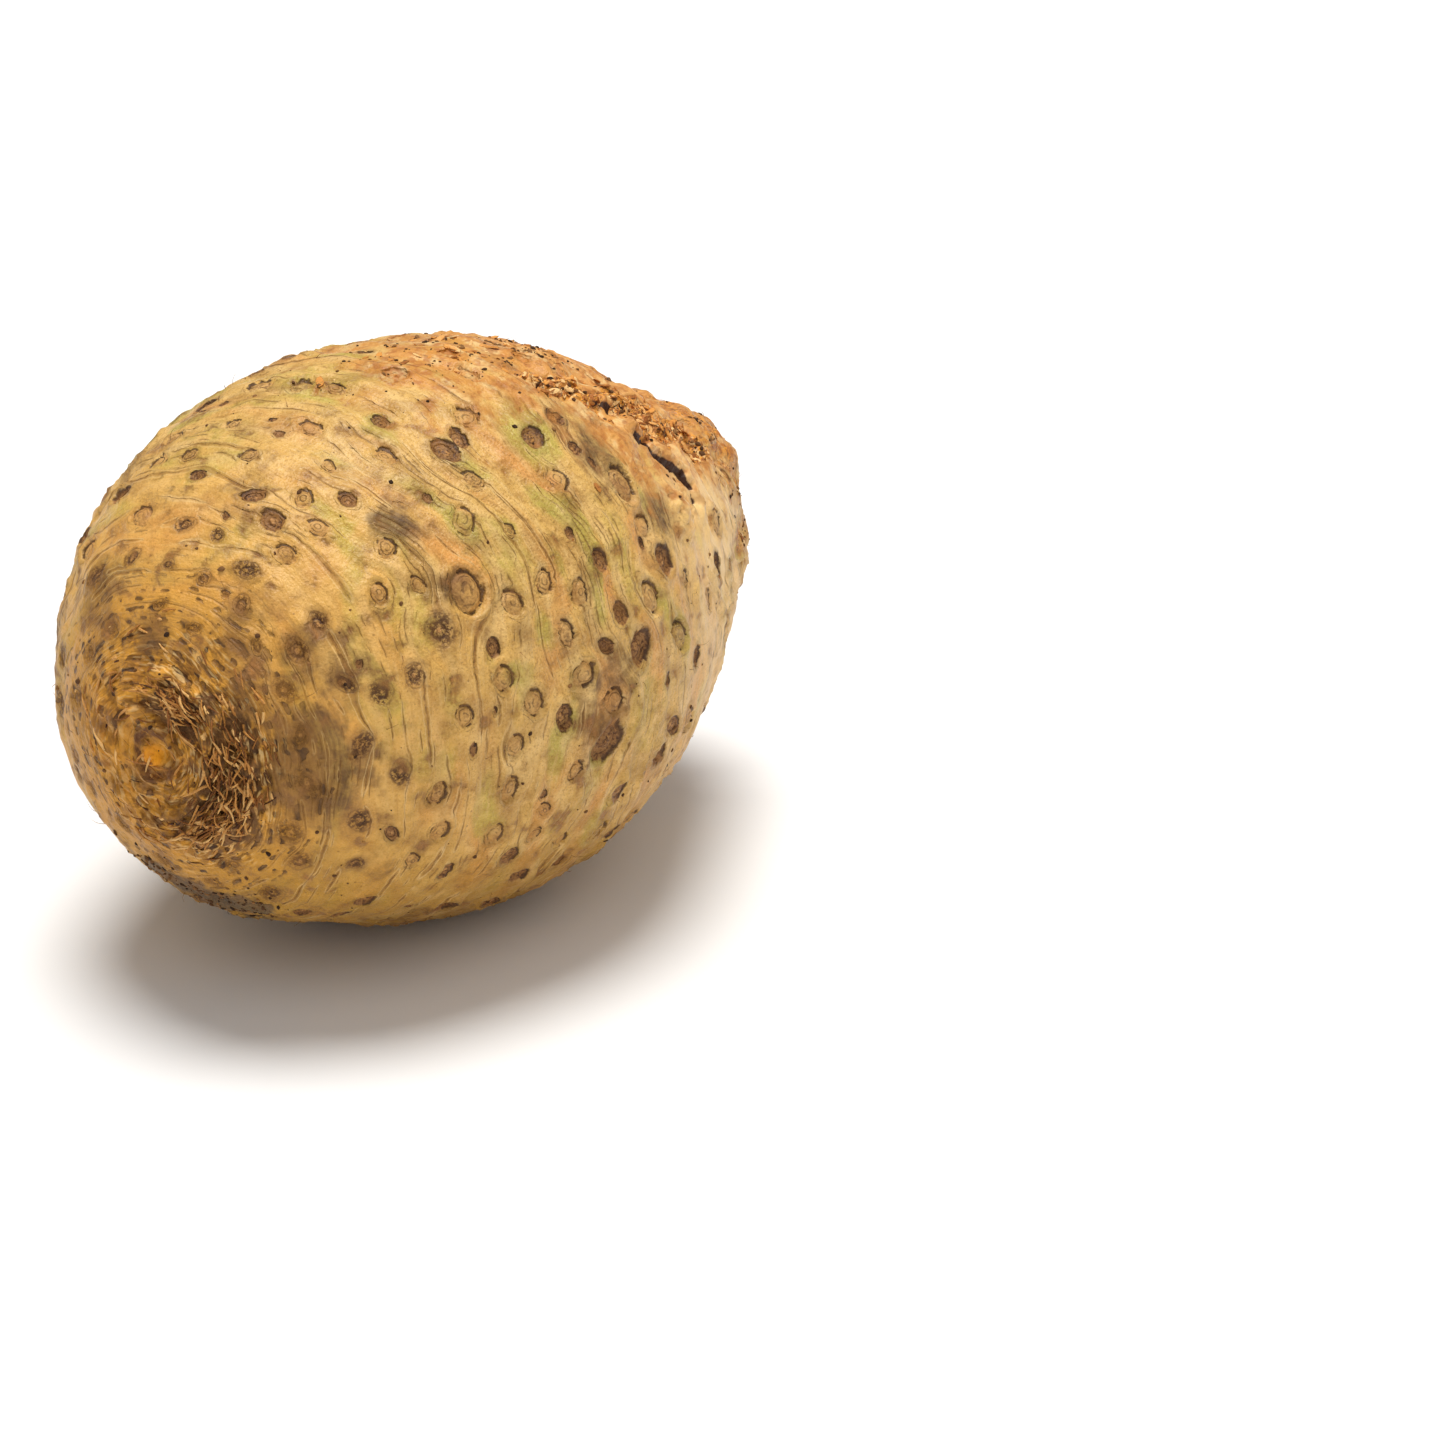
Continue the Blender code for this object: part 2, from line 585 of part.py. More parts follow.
def centre_over_origin(root):
    """Moves the root in plan so that the middle of its box stands over the origin."""
    points = np.empty(len(root.data.vertices) * 3, dtype=np.float32)
    root.data.vertices.foreach_get("co", points)
    points = points.reshape(-1, 3)
    middle = (points.min(axis=0) + points.max(axis=0)) / 2
    points[:, :2] -= middle[:2]
    root.data.vertices.foreach_set("co", points.ravel())
    root.data.update()


def skin_material():
    material = bpy.data.materials.new("celeriac_skin")
    material.use_nodes = True
    shader = material.node_tree.nodes["Principled BSDF"]
    shader.inputs["Base Color"].default_value = SKIN_COLOUR
    shader.inputs["Roughness"].default_value = SKIN_ROUGHNESS
    shader.inputs["Metallic"].default_value = 0.0
    material.diffuse_color = SKIN_COLOUR
    return material


for old in list(bpy.data.objects):
    bpy.data.objects.remove(old, do_unlink=True)

celeriac = skinned_root()
flat_level = cut_flat_spot(celeriac)
fuse_wisps(celeriac, flat_level)
centre_over_origin(celeriac)
celeriac.data.materials.clear()
celeriac.data.materials.append(skin_material())
celeriac.data.shade_smooth()
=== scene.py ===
"""A whole celeriac lying on its side: the looks of its skin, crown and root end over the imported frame."""
import math

import bmesh
import bpy
import numpy as np
from mathutils import Matrix, Vector


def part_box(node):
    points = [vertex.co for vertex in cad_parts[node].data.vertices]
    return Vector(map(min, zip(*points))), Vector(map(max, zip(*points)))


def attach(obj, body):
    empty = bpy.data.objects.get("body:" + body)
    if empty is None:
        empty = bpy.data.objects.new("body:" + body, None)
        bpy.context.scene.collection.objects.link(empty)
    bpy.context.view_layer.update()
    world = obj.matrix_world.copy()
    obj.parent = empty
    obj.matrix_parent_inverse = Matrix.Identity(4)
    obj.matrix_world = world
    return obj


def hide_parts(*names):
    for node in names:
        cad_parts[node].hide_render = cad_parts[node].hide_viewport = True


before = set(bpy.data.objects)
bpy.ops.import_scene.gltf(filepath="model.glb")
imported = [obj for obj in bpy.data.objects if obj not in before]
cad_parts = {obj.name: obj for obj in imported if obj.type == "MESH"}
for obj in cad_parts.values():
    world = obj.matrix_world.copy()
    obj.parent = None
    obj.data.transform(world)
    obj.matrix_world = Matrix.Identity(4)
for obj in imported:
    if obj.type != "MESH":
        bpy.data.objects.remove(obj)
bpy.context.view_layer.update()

# The body of the root
# A celeriac is a swollen root that grew as one piece. Its side outline runs from the blunt crown with the
# bud, at -X, to the narrower root end at +X. It lies on its side on a small flat spot.
root_low, root_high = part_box("celeriac")
# The fibres on the crown and the stump of the main root stand a little past the plain length.
ROOT_LENGTH = 0.971 * (root_high.x - root_low.x)
ROOT_HEIGHT = root_high.z - root_low.z
# Girths at even steps from the bud to the root end, as shares of the height
GIRTHS = (0.571, 0.535, 0.5115, 0.5014, 0.457, 0.432, 0.411)
PROFILE_STEPS = 720
# Swellings and hollows: share of the length, turn, spread along as a share, spread round in degrees, height
FORMS = (
    (0.25, 315, 0.14, 30, 0.0023),
    (0.50, 345, 0.10, 22, -0.0014),
    (0.84, 8, 0.07, 28, -0.0042),
    (0.94, 45, 0.05, 30, 0.0058),
    (0.90, 90, 0.05, 22, -0.0005),
    (0.66, 112, 0.12, 25, 0.0010),
    (0.20, 166, 0.10, 22, -0.0018),
    (0.10, 245, 0.06, 30, 0.0014),
    (0.42, 262, 0.15, 36, 0.0014),
    (0.74, 238, 0.10, 30, -0.0026),
    (0.88, 275, 0.06, 34, 0.0024),
)
END_FADE = 0.25
FLAT_DEPTH = 0.0010
FLAT_SMOOTH_TURN = 20
FLAT_SMOOTH_REACH = 0.026


def profile_tables():
    """The side outline: reach, place along the axis, half width and the outward normal, bud to root end."""
    angle = np.linspace(0, np.pi, PROFILE_STEPS)
    share = (1 - np.cos(angle)) / 2
    girths = ROOT_HEIGHT * np.array(GIRTHS)
    girth = np.polynomial.Polynomial.fit(np.linspace(0, 1, len(girths)), girths, len(girths) - 1)
    along = (share - 0.5) * ROOT_LENGTH
    out = np.sin(angle) * girth(share)
    reach = np.concatenate([[0], np.cumsum(np.hypot(np.diff(along), np.diff(out)))])
    normal_along = -np.gradient(out, angle)
    normal_out = np.gradient(along, angle)
    size = np.hypot(normal_along, normal_out)
    return reach, along, out, normal_along / size, normal_out / size


# A place on the skin is given by its reach, the distance over the skin from the bud in metres, and its turn,
# the angle round the root in degrees: 0 at the top and 90 at the -Y side.
REACH, *PROFILE = profile_tables()
HALF_WIDTH = PROFILE[1]
WHOLE_REACH = REACH[-1]
# The reach of the lowest line of the root, where it is widest
FLAT_REACH = REACH[int(np.argmax(HALF_WIDTH))]


def smooth_step(value, low, high):
    """0 below low, 1 above high and a smooth rise between them."""
    share = np.clip((value - low) / (high - low), 0, 1)
    return share * share * (3 - 2 * share)


def hill(value, centre, spread):
    """A smooth hill of height 1 at the centre."""
    return np.exp(-((value - centre) / spread) ** 2)


def turn_from(turn, centre):
    """How far a turn lies from another, in degrees, the short way round."""
    return (turn - centre + 180) % 360 - 180


def spot(reach, turn, spot_reach, spot_turn, spread, turn_spread):
    """A soft patch of the skin, 1 in its middle."""
    return hill(turn_from(turn, spot_turn), 0, turn_spread) * hill(reach, spot_reach, spread)


def half_width(reach):
    return np.interp(reach, REACH, HALF_WIDTH)


def ripple(points, wavelength, seed, waves=14):
    """Smooth unevenness of about -1 to 1: seeded waves that cross in all directions."""
    draw = np.random.default_rng(seed)
    ways = draw.normal(size=(waves, 3))
    ways /= np.linalg.norm(ways, axis=1, keepdims=True)
    lengths = wavelength * draw.uniform(0.7, 1.4, (waves, 1))
    starts = draw.uniform(0, 2 * np.pi, waves)
    return np.sin(points @ (2 * np.pi * ways / lengths).T + starts).sum(axis=1) / math.sqrt(waves / 2)


def bumps(points, *waves):
    """Ripples added up, each by its height, wavelength and seed."""
    return sum(height * ripple(points, wavelength, seed) for height, wavelength, seed in waves)


def skin_points(reach, turn, height):
    """Points on the root at a reach and turn, raised by a height over the plain form."""
    along, out, normal_along, normal_out = (np.interp(reach, REACH, table) for table in PROFILE)
    share = along / ROOT_LENGTH + 0.5
    sine = 2 * np.sqrt(np.clip(share * (1 - share), 0, None))
    lift = np.zeros_like(reach)
    for form_share, form_turn, spread, turn_spread, form_height in FORMS:
        across = hill(turn_from(turn, form_turn), 0, turn_spread)
        lift = lift + form_height * hill(share, form_share, spread) * across
    lift = lift * (1 - hill(sine, 0, END_FADE)) + height
    radius = out + lift * normal_out
    angle = np.radians(turn)
    return np.stack([along + lift * normal_along, -radius * np.sin(angle), radius * np.cos(angle)], axis=-1)


# The scars
# Leaves and rootlets that dropped off left oval scars in rows round the root. Most are rings round tan
# tissue, some are dark sunken pits, and near the crown they are soft eyes. Those that stand out are given by
# reach in millimetres, turn and length in millimetres.
DARK_SCARS = (
    (55, 7, 5), (52, 16, 6), (88, 30, 7), (93, 29, 6), (100, 8, 6), (104, 63, 5.5), (109, 82, 8),
    (105, 74, 5), (124, 69, 7), (98, 98, 10), (123, 103, 6), (119, 108, 6), (73, 70, 4.5), (80, 122, 5),
    (53, 138, 5), (76, 142, 6), (114, 127, 5), (49, 111, 4),
)
RING_SCARS = (
    (64, 341, 4), (74, 346, 4), (76, 5, 6), (69, 16, 4), (78, 23, 5), (99, 26, 6), (56, 26, 4.5),
    (80, 44, 6.5), (88, 38, 5), (105, 46, 6), (122, 52, 8.5), (89, 62, 5.5), (80, 63, 5.5), (72, 57, 9),
    (63, 40, 4.5), (48, 25, 5), (56, 48, 5), (73, 77, 5.5), (92, 82, 6), (116, 74, 8), (124, 84, 8),
    (100, 90, 6), (90, 102, 5), (79, 84, 6), (63, 82, 4.5), (74, 92, 5), (57, 100, 5.5), (73, 114, 5.5),
    (85, 117, 4), (56, 120, 4),
)
EYE_SCARS = (
    (35, 25, 4), (41, 20, 4.5), (43, 46, 5), (37, 49, 5.5), (31, 58, 5), (31, 76, 4.5), (31, 95, 6),
    (42, 83, 5), (49, 92, 5), (55, 69, 5), (48, 70, 5), (42, 64, 5), (42, 107, 5), (30, 118, 5.5),
    (35, 130, 5), (63, 62, 6),
)
FIRST_ROW = 0.028
LAST_ROW = 0.192
# The gaps between rows, and between scars in a row, in the first row and in the last
ROW_GAPS = (0.0092, 0.0130)
SCAR_GAPS = (0.0100, 0.0142)
ROW_JITTER = 0.36
SCAR_LENGTHS = (0.0032, 0.0068)
SCAR_CLEARANCE = 0.0022
SCAR_SEED = 17
SCAR_ASPECT = 1.35
SCAR_ASPECT_RANGE = (0.85, 1.2)
# Pinholes between the scars, in the same terms
PINHOLES = (
    (76, 355, 2.6), (72, 0, 2.8), (83, 337, 2.4), (81, 333, 2.4), (49, 4, 2.6), (77, 36, 2.6),
    (117, 46, 2.8), (100, 56, 2.6), (35, 18, 2.4), (30, 351, 2.4), (119, 64, 2.8), (70, 83, 2),
    (46, 61, 2.2), (83, 106, 2.4), (62, 318, 2.4), (97, 296, 2.6), (71, 262, 2.4), (110, 232, 2.6),
    (60, 214, 2.4), (129, 200, 2.6),
)
# Drawn scars nearer the bud than this are eyes. Of the others the first share is dark, and of what is left
# the small ones up to the second share are pits.
EYES_UP_TO = 0.046
DARK_SHARE = 0.34
PIT_SHARE = 0.56
PIT_LENGTH = 0.005
KIND_SEED = 23
RING, DARK, EYE, PIT = range(4)
SCAR_SLANT = 0.35
SCAR_FAR = 9.0
# How far from a scar its marks go, in lengths, and how far the rings bend round it, in half lengths
SCAR_FIELD = 4
SCAR_BEND = 0.6
SCAR_BEND_FULL = 1.3
SCAR_BEND_REACH = 3.6
# The scars' relief is given for this length and grows with a scar's own, within the range.
SCAR_SIZE = 0.005
SCAR_SIZE_RANGE = (0.5, 1.4)
LIP_HEIGHT = 0.00040
GROOVE_DEPTH = 0.00055
DARK_DEPTH = 0.00062
EYE_DEPTH = 0.00036
PIT_DEPTH = 0.00080
TISSUE_HEIGHT = 0.00015
NUB_HEIGHT = 0.00030
# A callus closed over an old wound beside the saddle: reach, turn, radius, height
CALLUS = (0.141, 64, 0.0050, 0.0013)
# Cracks, each by its corners (reach in millimetres, turn), its width and its depth
CRACKS = (
    (((125, 25), (134, 32), (143, 37)), 0.0018, 0.0014),
    (((142, 44), (147, 50), (151, 53), (155, 57), (154, 62)), 0.0028, 0.0024),
    (((160, 92), (172, 96), (186, 90)), 0.0020, 0.0014),
    (((176, 180), (190, 174), (206, 168)), 0.0026, 0.0020),
    (((172, 246), (188, 240), (200, 236)), 0.0022, 0.0018),
    (((160, 300), (176, 296), (194, 290)), 0.0026, 0.0020),
    (((182, 340), (196, 345), (214, 352)), 0.0022, 0.0018),
)


def metres(places):
    """Places with their reach and length turned from millimetres into metres."""
    return [(reach / 1000, turn, length / 1000) for reach, turn, length in places]


def scar_fits(reach, turn, length, scars, clearance):
    """True where a scar keeps clear of the others, the flat spot, the callus and the cracks."""
    if abs(turn_from(turn, 180)) < FLAT_SMOOTH_TURN and abs(reach - FLAT_REACH) < FLAT_SMOOTH_REACH:
        return False
    taken = list(scars)
    taken.append((CALLUS[0], CALLUS[1], 2 * CALLUS[2]))
    for corners, width, _ in CRACKS:
        taken.extend((corner_reach / 1000, corner_turn, 2 * width) for corner_reach, corner_turn in corners)
    for other_reach, other_turn, other_length in taken:
        across = math.radians(turn_from(turn, other_turn)) * half_width(reach)
        apart = math.hypot(reach - other_reach, across)
        if apart < (length + other_length) / 2 + clearance:
            return False
    return True


def drawn_kind(reach, length, chance):
    """What a scar is that wasn't listed."""
    if reach < EYES_UP_TO:
        return EYE
    if chance < DARK_SHARE:
        return DARK
    return PIT if chance < PIT_SHARE and length < PIT_LENGTH else RING


def scar_layout():
    """All scars as (reach, turn, length), and their kinds: those that stand out, rows of others that keep
    clear of them, and the pinholes."""
    draw = np.random.default_rng(SCAR_SEED)
    kind_draw = np.random.default_rng(KIND_SEED)
    scars = metres(DARK_SCARS + RING_SCARS + EYE_SCARS)
    kinds = [DARK] * len(DARK_SCARS) + [RING] * len(RING_SCARS) + [EYE] * len(EYE_SCARS)
    row = FIRST_ROW
    while row < LAST_ROW:
        share = (row - FIRST_ROW) / (LAST_ROW - FIRST_ROW)
        row_gap, scar_gap = (near + share * (far - near) for near, far in (ROW_GAPS, SCAR_GAPS))
        count = int(2 * np.pi * half_width(row) / scar_gap)
        start = draw.uniform(0, 360)
        for step in range(count):
            reach = row + row_gap * draw.uniform(-ROW_JITTER, ROW_JITTER)
            turn = (start + 360 / count * (step + draw.uniform(-ROW_JITTER, ROW_JITTER))) % 360
            length = draw.uniform(*SCAR_LENGTHS)
            if scar_fits(reach, turn, length, scars, SCAR_CLEARANCE):
                scars.append((reach, turn, length))
                kinds.append(drawn_kind(reach, length, kind_draw.uniform()))
        row += row_gap
    for pinhole in metres(PINHOLES):
        if scar_fits(*pinhole, scars, 0.0):
            scars.append(pinhole)
            kinds.append(PIT)
    return scars, kinds


def scar_fields(reach, turn):
    """What each point knows of its nearest scar: its place across and onward from the scar's middle and its
    distance, in half lengths, the scar's kind, tone and length, and how far the growth rings bend there."""
    draw = np.random.default_rng(KIND_SEED + 1)
    names = ("across", "onward", "kind", "tone", "length", "bend")
    fields = {name: np.zeros(len(reach)) for name in names}
    fields["away"] = np.full(len(reach), SCAR_FAR)
    for (scar_reach, scar_turn, length), kind in zip(*scar_layout()):
        slant = SCAR_SLANT * draw.normal()
        tone = draw.uniform()
        aspect = SCAR_ASPECT * draw.uniform(*SCAR_ASPECT_RANGE)
        near = np.flatnonzero(np.abs(reach - scar_reach) < SCAR_FIELD * length)
        round_way = np.radians(turn_from(turn[near], scar_turn)) * half_width(scar_reach)
        past = reach[near] - scar_reach
        across = (round_way * math.cos(slant) + past * math.sin(slant)) / (length / 2)
        onward = (past * math.cos(slant) - round_way * math.sin(slant)) * aspect / (length / 2)
        away = np.hypot(across, onward)
        crowded = np.clip(SCAR_BEND_FULL / np.maximum(away, 1e-6), None, 1) ** 2
        fields["bend"][near] -= SCAR_BEND * past * crowded * hill(away, 0, SCAR_BEND_REACH)
        nearer = away < fields["away"][near]
        here = near[nearer]
        for name, values in (("away", away), ("across", across), ("onward", onward)):
            fields[name][here] = values[nearer]
        fields["kind"][here] = kind
        fields["tone"][here] = tone
        fields["length"][here] = length
    return fields


def scar_relief(scar):
    """Rings with a groove inside a raised lip, sunken pits, and dimples with a small nub."""
    away = scar["away"]
    size = np.clip(scar["length"] / SCAR_SIZE, *SCAR_SIZE_RANGE)
    lip = LIP_HEIGHT * hill(away, 1.24, 0.24)
    ring = lip - GROOVE_DEPTH * hill(away, 0.92, 0.15) + TISSUE_HEIGHT * (1 - smooth_step(away, 0.2, 0.8))
    dark = lip - DARK_DEPTH * (1 - smooth_step(away, 0.60, 1.0)) + NUB_HEIGHT * hill(away, 0, 0.30)
    eye = 0.7 * lip - EYE_DEPTH * hill(away, 0.1, 0.75) + NUB_HEIGHT * hill(away, 0, 0.24)
    pit = 0.8 * lip - PIT_DEPTH * (1 - smooth_step(away, 0.35, 1.0))
    return size * np.choose(scar["kind"].astype(int), [ring, dark, eye, pit])


# The growth rings
# The skin grew in low rings round the axis, which wander and part round each scar as wood grain does round a
# knot. Broad folds carry finer ridges.
FOLD_SPACING = 0.0125
FOLD_HEIGHT = 0.0003
FOLDS_IN = (0.020, 0.040)
FOLDS_OUT = (0.180, 0.205)
# How the rings wander, and the dimples between them, by height, wavelength and seed
RING_WANDER = ((0.0022, 0.045, 3), (0.0006, 0.020, 4))
DIMPLES = ((0.00012, 0.0085, 55), (0.00005, 0.0036, 56))
# Finer ridges: spacing, height, how far each runs along the ring, seed
RIDGES = (
    (0.0056, 0.00026, 0.030, 51),
    (0.0030, 0.00016, 0.018, 52),
)
# Where the ridges are strong, by wavelength and seed
RIDGE_PATCHES = (0.017, 50)
# How bands along the rings vary: their waves, the range of their spacings and how far they shift
BAND_WAVES = 3
BAND_SPACINGS = (0.75, 1.35)
BAND_SHIFT = 1.8


def growth_rings(reach, points, bend):
    """The rings' own coordinate: reach, wandering a little and bent round the scars."""
    return reach + bumps(points, *RING_WANDER) + bend


def ring_bands(rings, points, spacing, length, seed):
    """Bands of about -1 to 1 that follow the rings, and swell, shift and die away along them."""
    draw = np.random.default_rng(seed)
    bands = np.zeros_like(rings)
    for wave in range(BAND_WAVES):
        wave_spacing = spacing * draw.uniform(*BAND_SPACINGS)
        shift = BAND_SHIFT * ripple(points, length, seed + 10 * (wave + 1))
        bands += np.sin(2 * np.pi * rings / wave_spacing + shift) / math.sqrt(BAND_WAVES / 2)
    return bands


def fold_relief(reach, rings, points):
    """Broad folds, the finer ridges on them and faint dimples."""
    ends = smooth_step(reach, *FOLDS_IN) * (1 - smooth_step(reach, *FOLDS_OUT))
    relief = FOLD_HEIGHT * np.sin(2 * np.pi * rings / FOLD_SPACING)
    patches = smooth_step(ripple(points, *RIDGE_PATCHES), -0.9, 1.1)
    for spacing, height, length, seed in RIDGES:
        relief += height * patches * ring_bands(rings, points, spacing, length, seed)
    return (relief + bumps(points, *DIMPLES)) * ends


# The crown
# Leaves grew from the bud at the blunt end. Their cut bases dried to rings round it, and their fibres to a
# torn brown mat in a crescent below it.
BUD_RADIUS = 0.0030
BUD_HEIGHT = 0.0018
CROWN_RINGS = (0.0056, 0.0090, 0.0124, 0.0160)
CROWN_RING_WIDTH = 0.0011
CROWN_RING_HEIGHT = 0.0009
CROWN_REACH = 0.024
# The mat, and a dark clump of leaf stubs above the bud: reach, turn, spread along, spread round in degrees
MAT = (0.0175, 112, 0.0062, 62)
CLUMP = (0.0115, 24, 0.0038, 30)
MAT_HEIGHT = 0.0014
CLUMP_SHARE = 0.6
# Unevenness, with wavelength and seed: of the rings as a share, of the crown in metres, of the mat as a share
RING_BUMPS = (0.35, 0.009, 8)
CROWN_BUMPS = (0.00035, 0.006, 9)
MAT_BUMPS = ((0.6, 0.005, 10), (0.35, 0.0020, 13))
# Shreds: their spacing, and the wavelength and seed by which they wander
SHREDS = ((0.0019, 0.006, 11), (0.0012, 0.004, 12))
SHRED_WANDER = 2.4
SHRED_HEIGHT = 0.00012


def crown_relief(reach, turn, points):
    """The bud, the rings of leaf bases round it, fine shreds, the leaf stubs and the mat."""
    relief = BUD_HEIGHT * (1 - smooth_step(reach, 0.3 * BUD_RADIUS, 1.3 * BUD_RADIUS))
    uneven = 1 + bumps(points, RING_BUMPS)
    for ring in CROWN_RINGS:
        relief += CROWN_RING_HEIGHT * hill(reach, ring, CROWN_RING_WIDTH) * uneven
    crown = 1 - smooth_step(reach, 0.7 * CROWN_REACH, CROWN_REACH)
    relief += crown * bumps(points, CROWN_BUMPS)
    for spacing, wavelength, seed in SHREDS:
        wander = SHRED_WANDER * ripple(points, wavelength, seed)
        relief += SHRED_HEIGHT * crown * np.sin(2 * np.pi * reach / spacing + wander)
    mat = spot(reach, turn, *MAT) + CLUMP_SHARE * spot(reach, turn, *CLUMP)
    return relief + MAT_HEIGHT * mat * (1 + bumps(points, *MAT_BUMPS))


# The root end
# The root was pulled and trimmed: a rough ragged end with the stump of the main root, stubs of side roots
# and dry cracks. Along the top a reddish skin shows, and a band of it beside the saddle is torn to crumbs.

# Where the end turns rough, how high its lumps are, and their wavelength and seed
END_ROUGH = (0.172, 0.196)
END_ROUGHNESS = 0.0009
LUMPS = (0.013, 21)
# Stubs of side roots: reach, turn, radius, height
STUBS = (
    (0.229, 130, 0.0120, 0.0036),
    (0.208, 96, 0.0062, 0.0026),
    (0.203, 205, 0.0072, 0.0030),
    (0.196, 262, 0.0062, 0.0024),
    (0.205, 322, 0.0070, 0.0030),
    (0.186, 150, 0.0050, 0.0020),
    (0.184, 5, 0.0052, 0.0020),
)
# The shares of its radius over which a stub's wall falls, its dished face rises and its cut colour fades
STUB_WALL = (0.75, 1.15)
STUB_FACE = (0.15, 0.75)
STUB_CUT = (0.70, 0.95)
STUB_DISH = 0.4
STUB_BUMPS = (0.10, 0.0050, 33)
CALLUS_BUMPS = (0.35, 0.0032, 40)
# The raw skin along the top: turn, spread round in degrees and where it begins
RAW_TURN = 28
RAW_TURN_SPREAD = 30
RAW_RISE = (0.118, 0.132)
RAW_ROUGHNESS = 0.00065
FLUSH_TURN = 8
FLUSH_TURN_SPREAD = 26
FLUSH_RISE = (0.082, 0.118)
# The middle of the torn band by its corners, in the cracks' terms
TORN_BAND = ((124, 24), (136, 32), (150, 38), (166, 43), (184, 47))
TORN_WIDTH = 0.0058
TORN_DEPTH = 0.0003
# How the band's edge wanders, and the roughness in it and at the end, by height, wavelength and seed
TORN_BUMPS = ((0.0016, 0.012, 34), (0.0007, 0.0045, 38))
TORN_ROUGHNESS = ((1, 0.0042, 36), (0.8, 0.0019, 37))
TORN_FINEST = (0.00022, 0.0012, 39)
END_BUMPS = (0.00020, 0.0065, 35)
# The left side of a crack, seen from its start, stands up as a flap.
CRACK_DEPTH = 0.6
CRACK_LIP = 0.5
CRACK_BUMPS = ((0.00055, 0.0042, 31), (0.00022, 0.0017, 32))
PATH_GAP = 0.0006
PATH_NEAR = 0.030


def path_places(points, corners):
    """How far each point lies from a path over the skin, up to a limit and negative on its right, and its
    share of the way along the path. The path's corners are (reach in millimetres, turn)."""
    reaches, turns = (np.array(values, dtype=float) for values in zip(*corners))
    reaches = reaches / 1000
    steps = np.linalg.norm(np.diff(skin_points(reaches, turns, 0), axis=0), axis=1)
    so_far = np.concatenate([[0], np.cumsum(steps)])
    ticks = np.linspace(0, so_far[-1], int(so_far[-1] / PATH_GAP) + 2)
    path = skin_points(np.interp(ticks, so_far, reaches), np.interp(ticks, so_far, turns), 0)
    away = np.full(len(points), PATH_NEAR)
    share = np.zeros(len(points))
    reach_out = PATH_NEAR + so_far[-1] / 2
    near = np.flatnonzero(np.linalg.norm(points - path[len(path) // 2], axis=1) < reach_out)
    apart = np.linalg.norm(points[near, None, :] - path[None, :, :], axis=2)
    nearest = np.argmin(apart, axis=1)
    offset = points[near] - path[nearest]
    onward = np.gradient(path, axis=0)[nearest]
    outward = points[near] * (0, 1, 1)
    side = np.einsum("ij,ij->i", np.cross(outward, onward), offset)
    away[near] = np.min(apart, axis=1) * np.where(side < 0, -1, 1)
    share[near] = nearest / (len(path) - 1)
    return away, share


def crack_fields(points):
    """The cracks' relief, and the painted shade in their depth, 0 to 1."""
    relief = np.zeros(len(points))
    crack_shade = np.zeros(len(points))
    ragged = bumps(points, *CRACK_BUMPS)
    for corners, width, depth in CRACKS:
        away = path_places(points, corners)[0] + ragged
        relief -= CRACK_DEPTH * depth * hill(away, 0, np.where(away > 0, 0.30 * width, 0.70 * width))
        relief += CRACK_LIP * depth * hill(away, 0.9 * width, 0.6 * width)
        crack_shade = np.maximum(crack_shade, hill(away, 0, np.where(away > 0, 0.42 * width, 0.25 * width)))
    return relief, crack_shade


def stub_fields(points):
    """The stubs' relief, and how much of a cut face shows, 0 to 1."""
    relief = np.zeros(len(points))
    face = np.zeros(len(points))
    ragged = 1 + bumps(points, STUB_BUMPS)
    for index, (reach, turn, radius, height) in enumerate((CALLUS,) + STUBS):
        middle = skin_points(np.array([reach]), np.array([float(turn)]), 0)
        away = np.linalg.norm(points - middle, axis=1) / radius * ragged
        raised = height * (1 - smooth_step(away, *STUB_WALL))
        if index == 0:
            relief += raised * (1 + bumps(points, CALLUS_BUMPS))
        else:
            relief += raised - STUB_DISH * height * (1 - smooth_step(away, *STUB_FACE))
            face = np.maximum(face, 1 - smooth_step(away, *STUB_CUT))
    return relief, face


def raw_share(reach, turn, wider=1.0):
    """How raw the skin is along the top, 0 to 1."""
    return hill(turn_from(turn, RAW_TURN), 0, wider * RAW_TURN_SPREAD) * smooth_step(reach, *RAW_RISE)


def end_fields(reach, turn, points):
    """Where the skin is flushed red on top, torn to crumbs beside the saddle, and rough at the end."""
    band_bumps, finer_bumps = TORN_BUMPS
    uneven = ripple(points, *band_bumps[1:])
    along_top = hill(turn_from(turn, FLUSH_TURN), 0, FLUSH_TURN_SPREAD)
    along_top = along_top * smooth_step(reach + 0.006 * uneven, *FLUSH_RISE)
    flush = np.maximum(along_top, raw_share(reach, turn, 1.1))
    away, share = path_places(points, TORN_BAND)
    width = TORN_WIDTH * (0.65 + 0.65 * hill(share, 0.60, 0.28))
    ragged = np.abs(away) + band_bumps[0] * uneven + bumps(points, finer_bumps)
    torn = 1 - smooth_step(ragged / width, 0.6, 1.1)
    end = smooth_step(reach + 0.004 * uneven, *END_ROUGH)
    return flush, torn, end


def end_relief(reach, turn, torn, end, points):
    """Lumps on the raw strip and the root end, and torn layers."""
    lumps = RAW_ROUGHNESS * raw_share(reach, turn) * (1 - end) + END_ROUGHNESS * end
    rough = bumps(points, *TORN_ROUGHNESS)
    relief = lumps * ripple(points, *LUMPS)
    relief += torn * (0.00044 * rough + bumps(points, TORN_FINEST) - TORN_DEPTH)
    return relief + end * (bumps(points, END_BUMPS) + 0.00010 * rough)
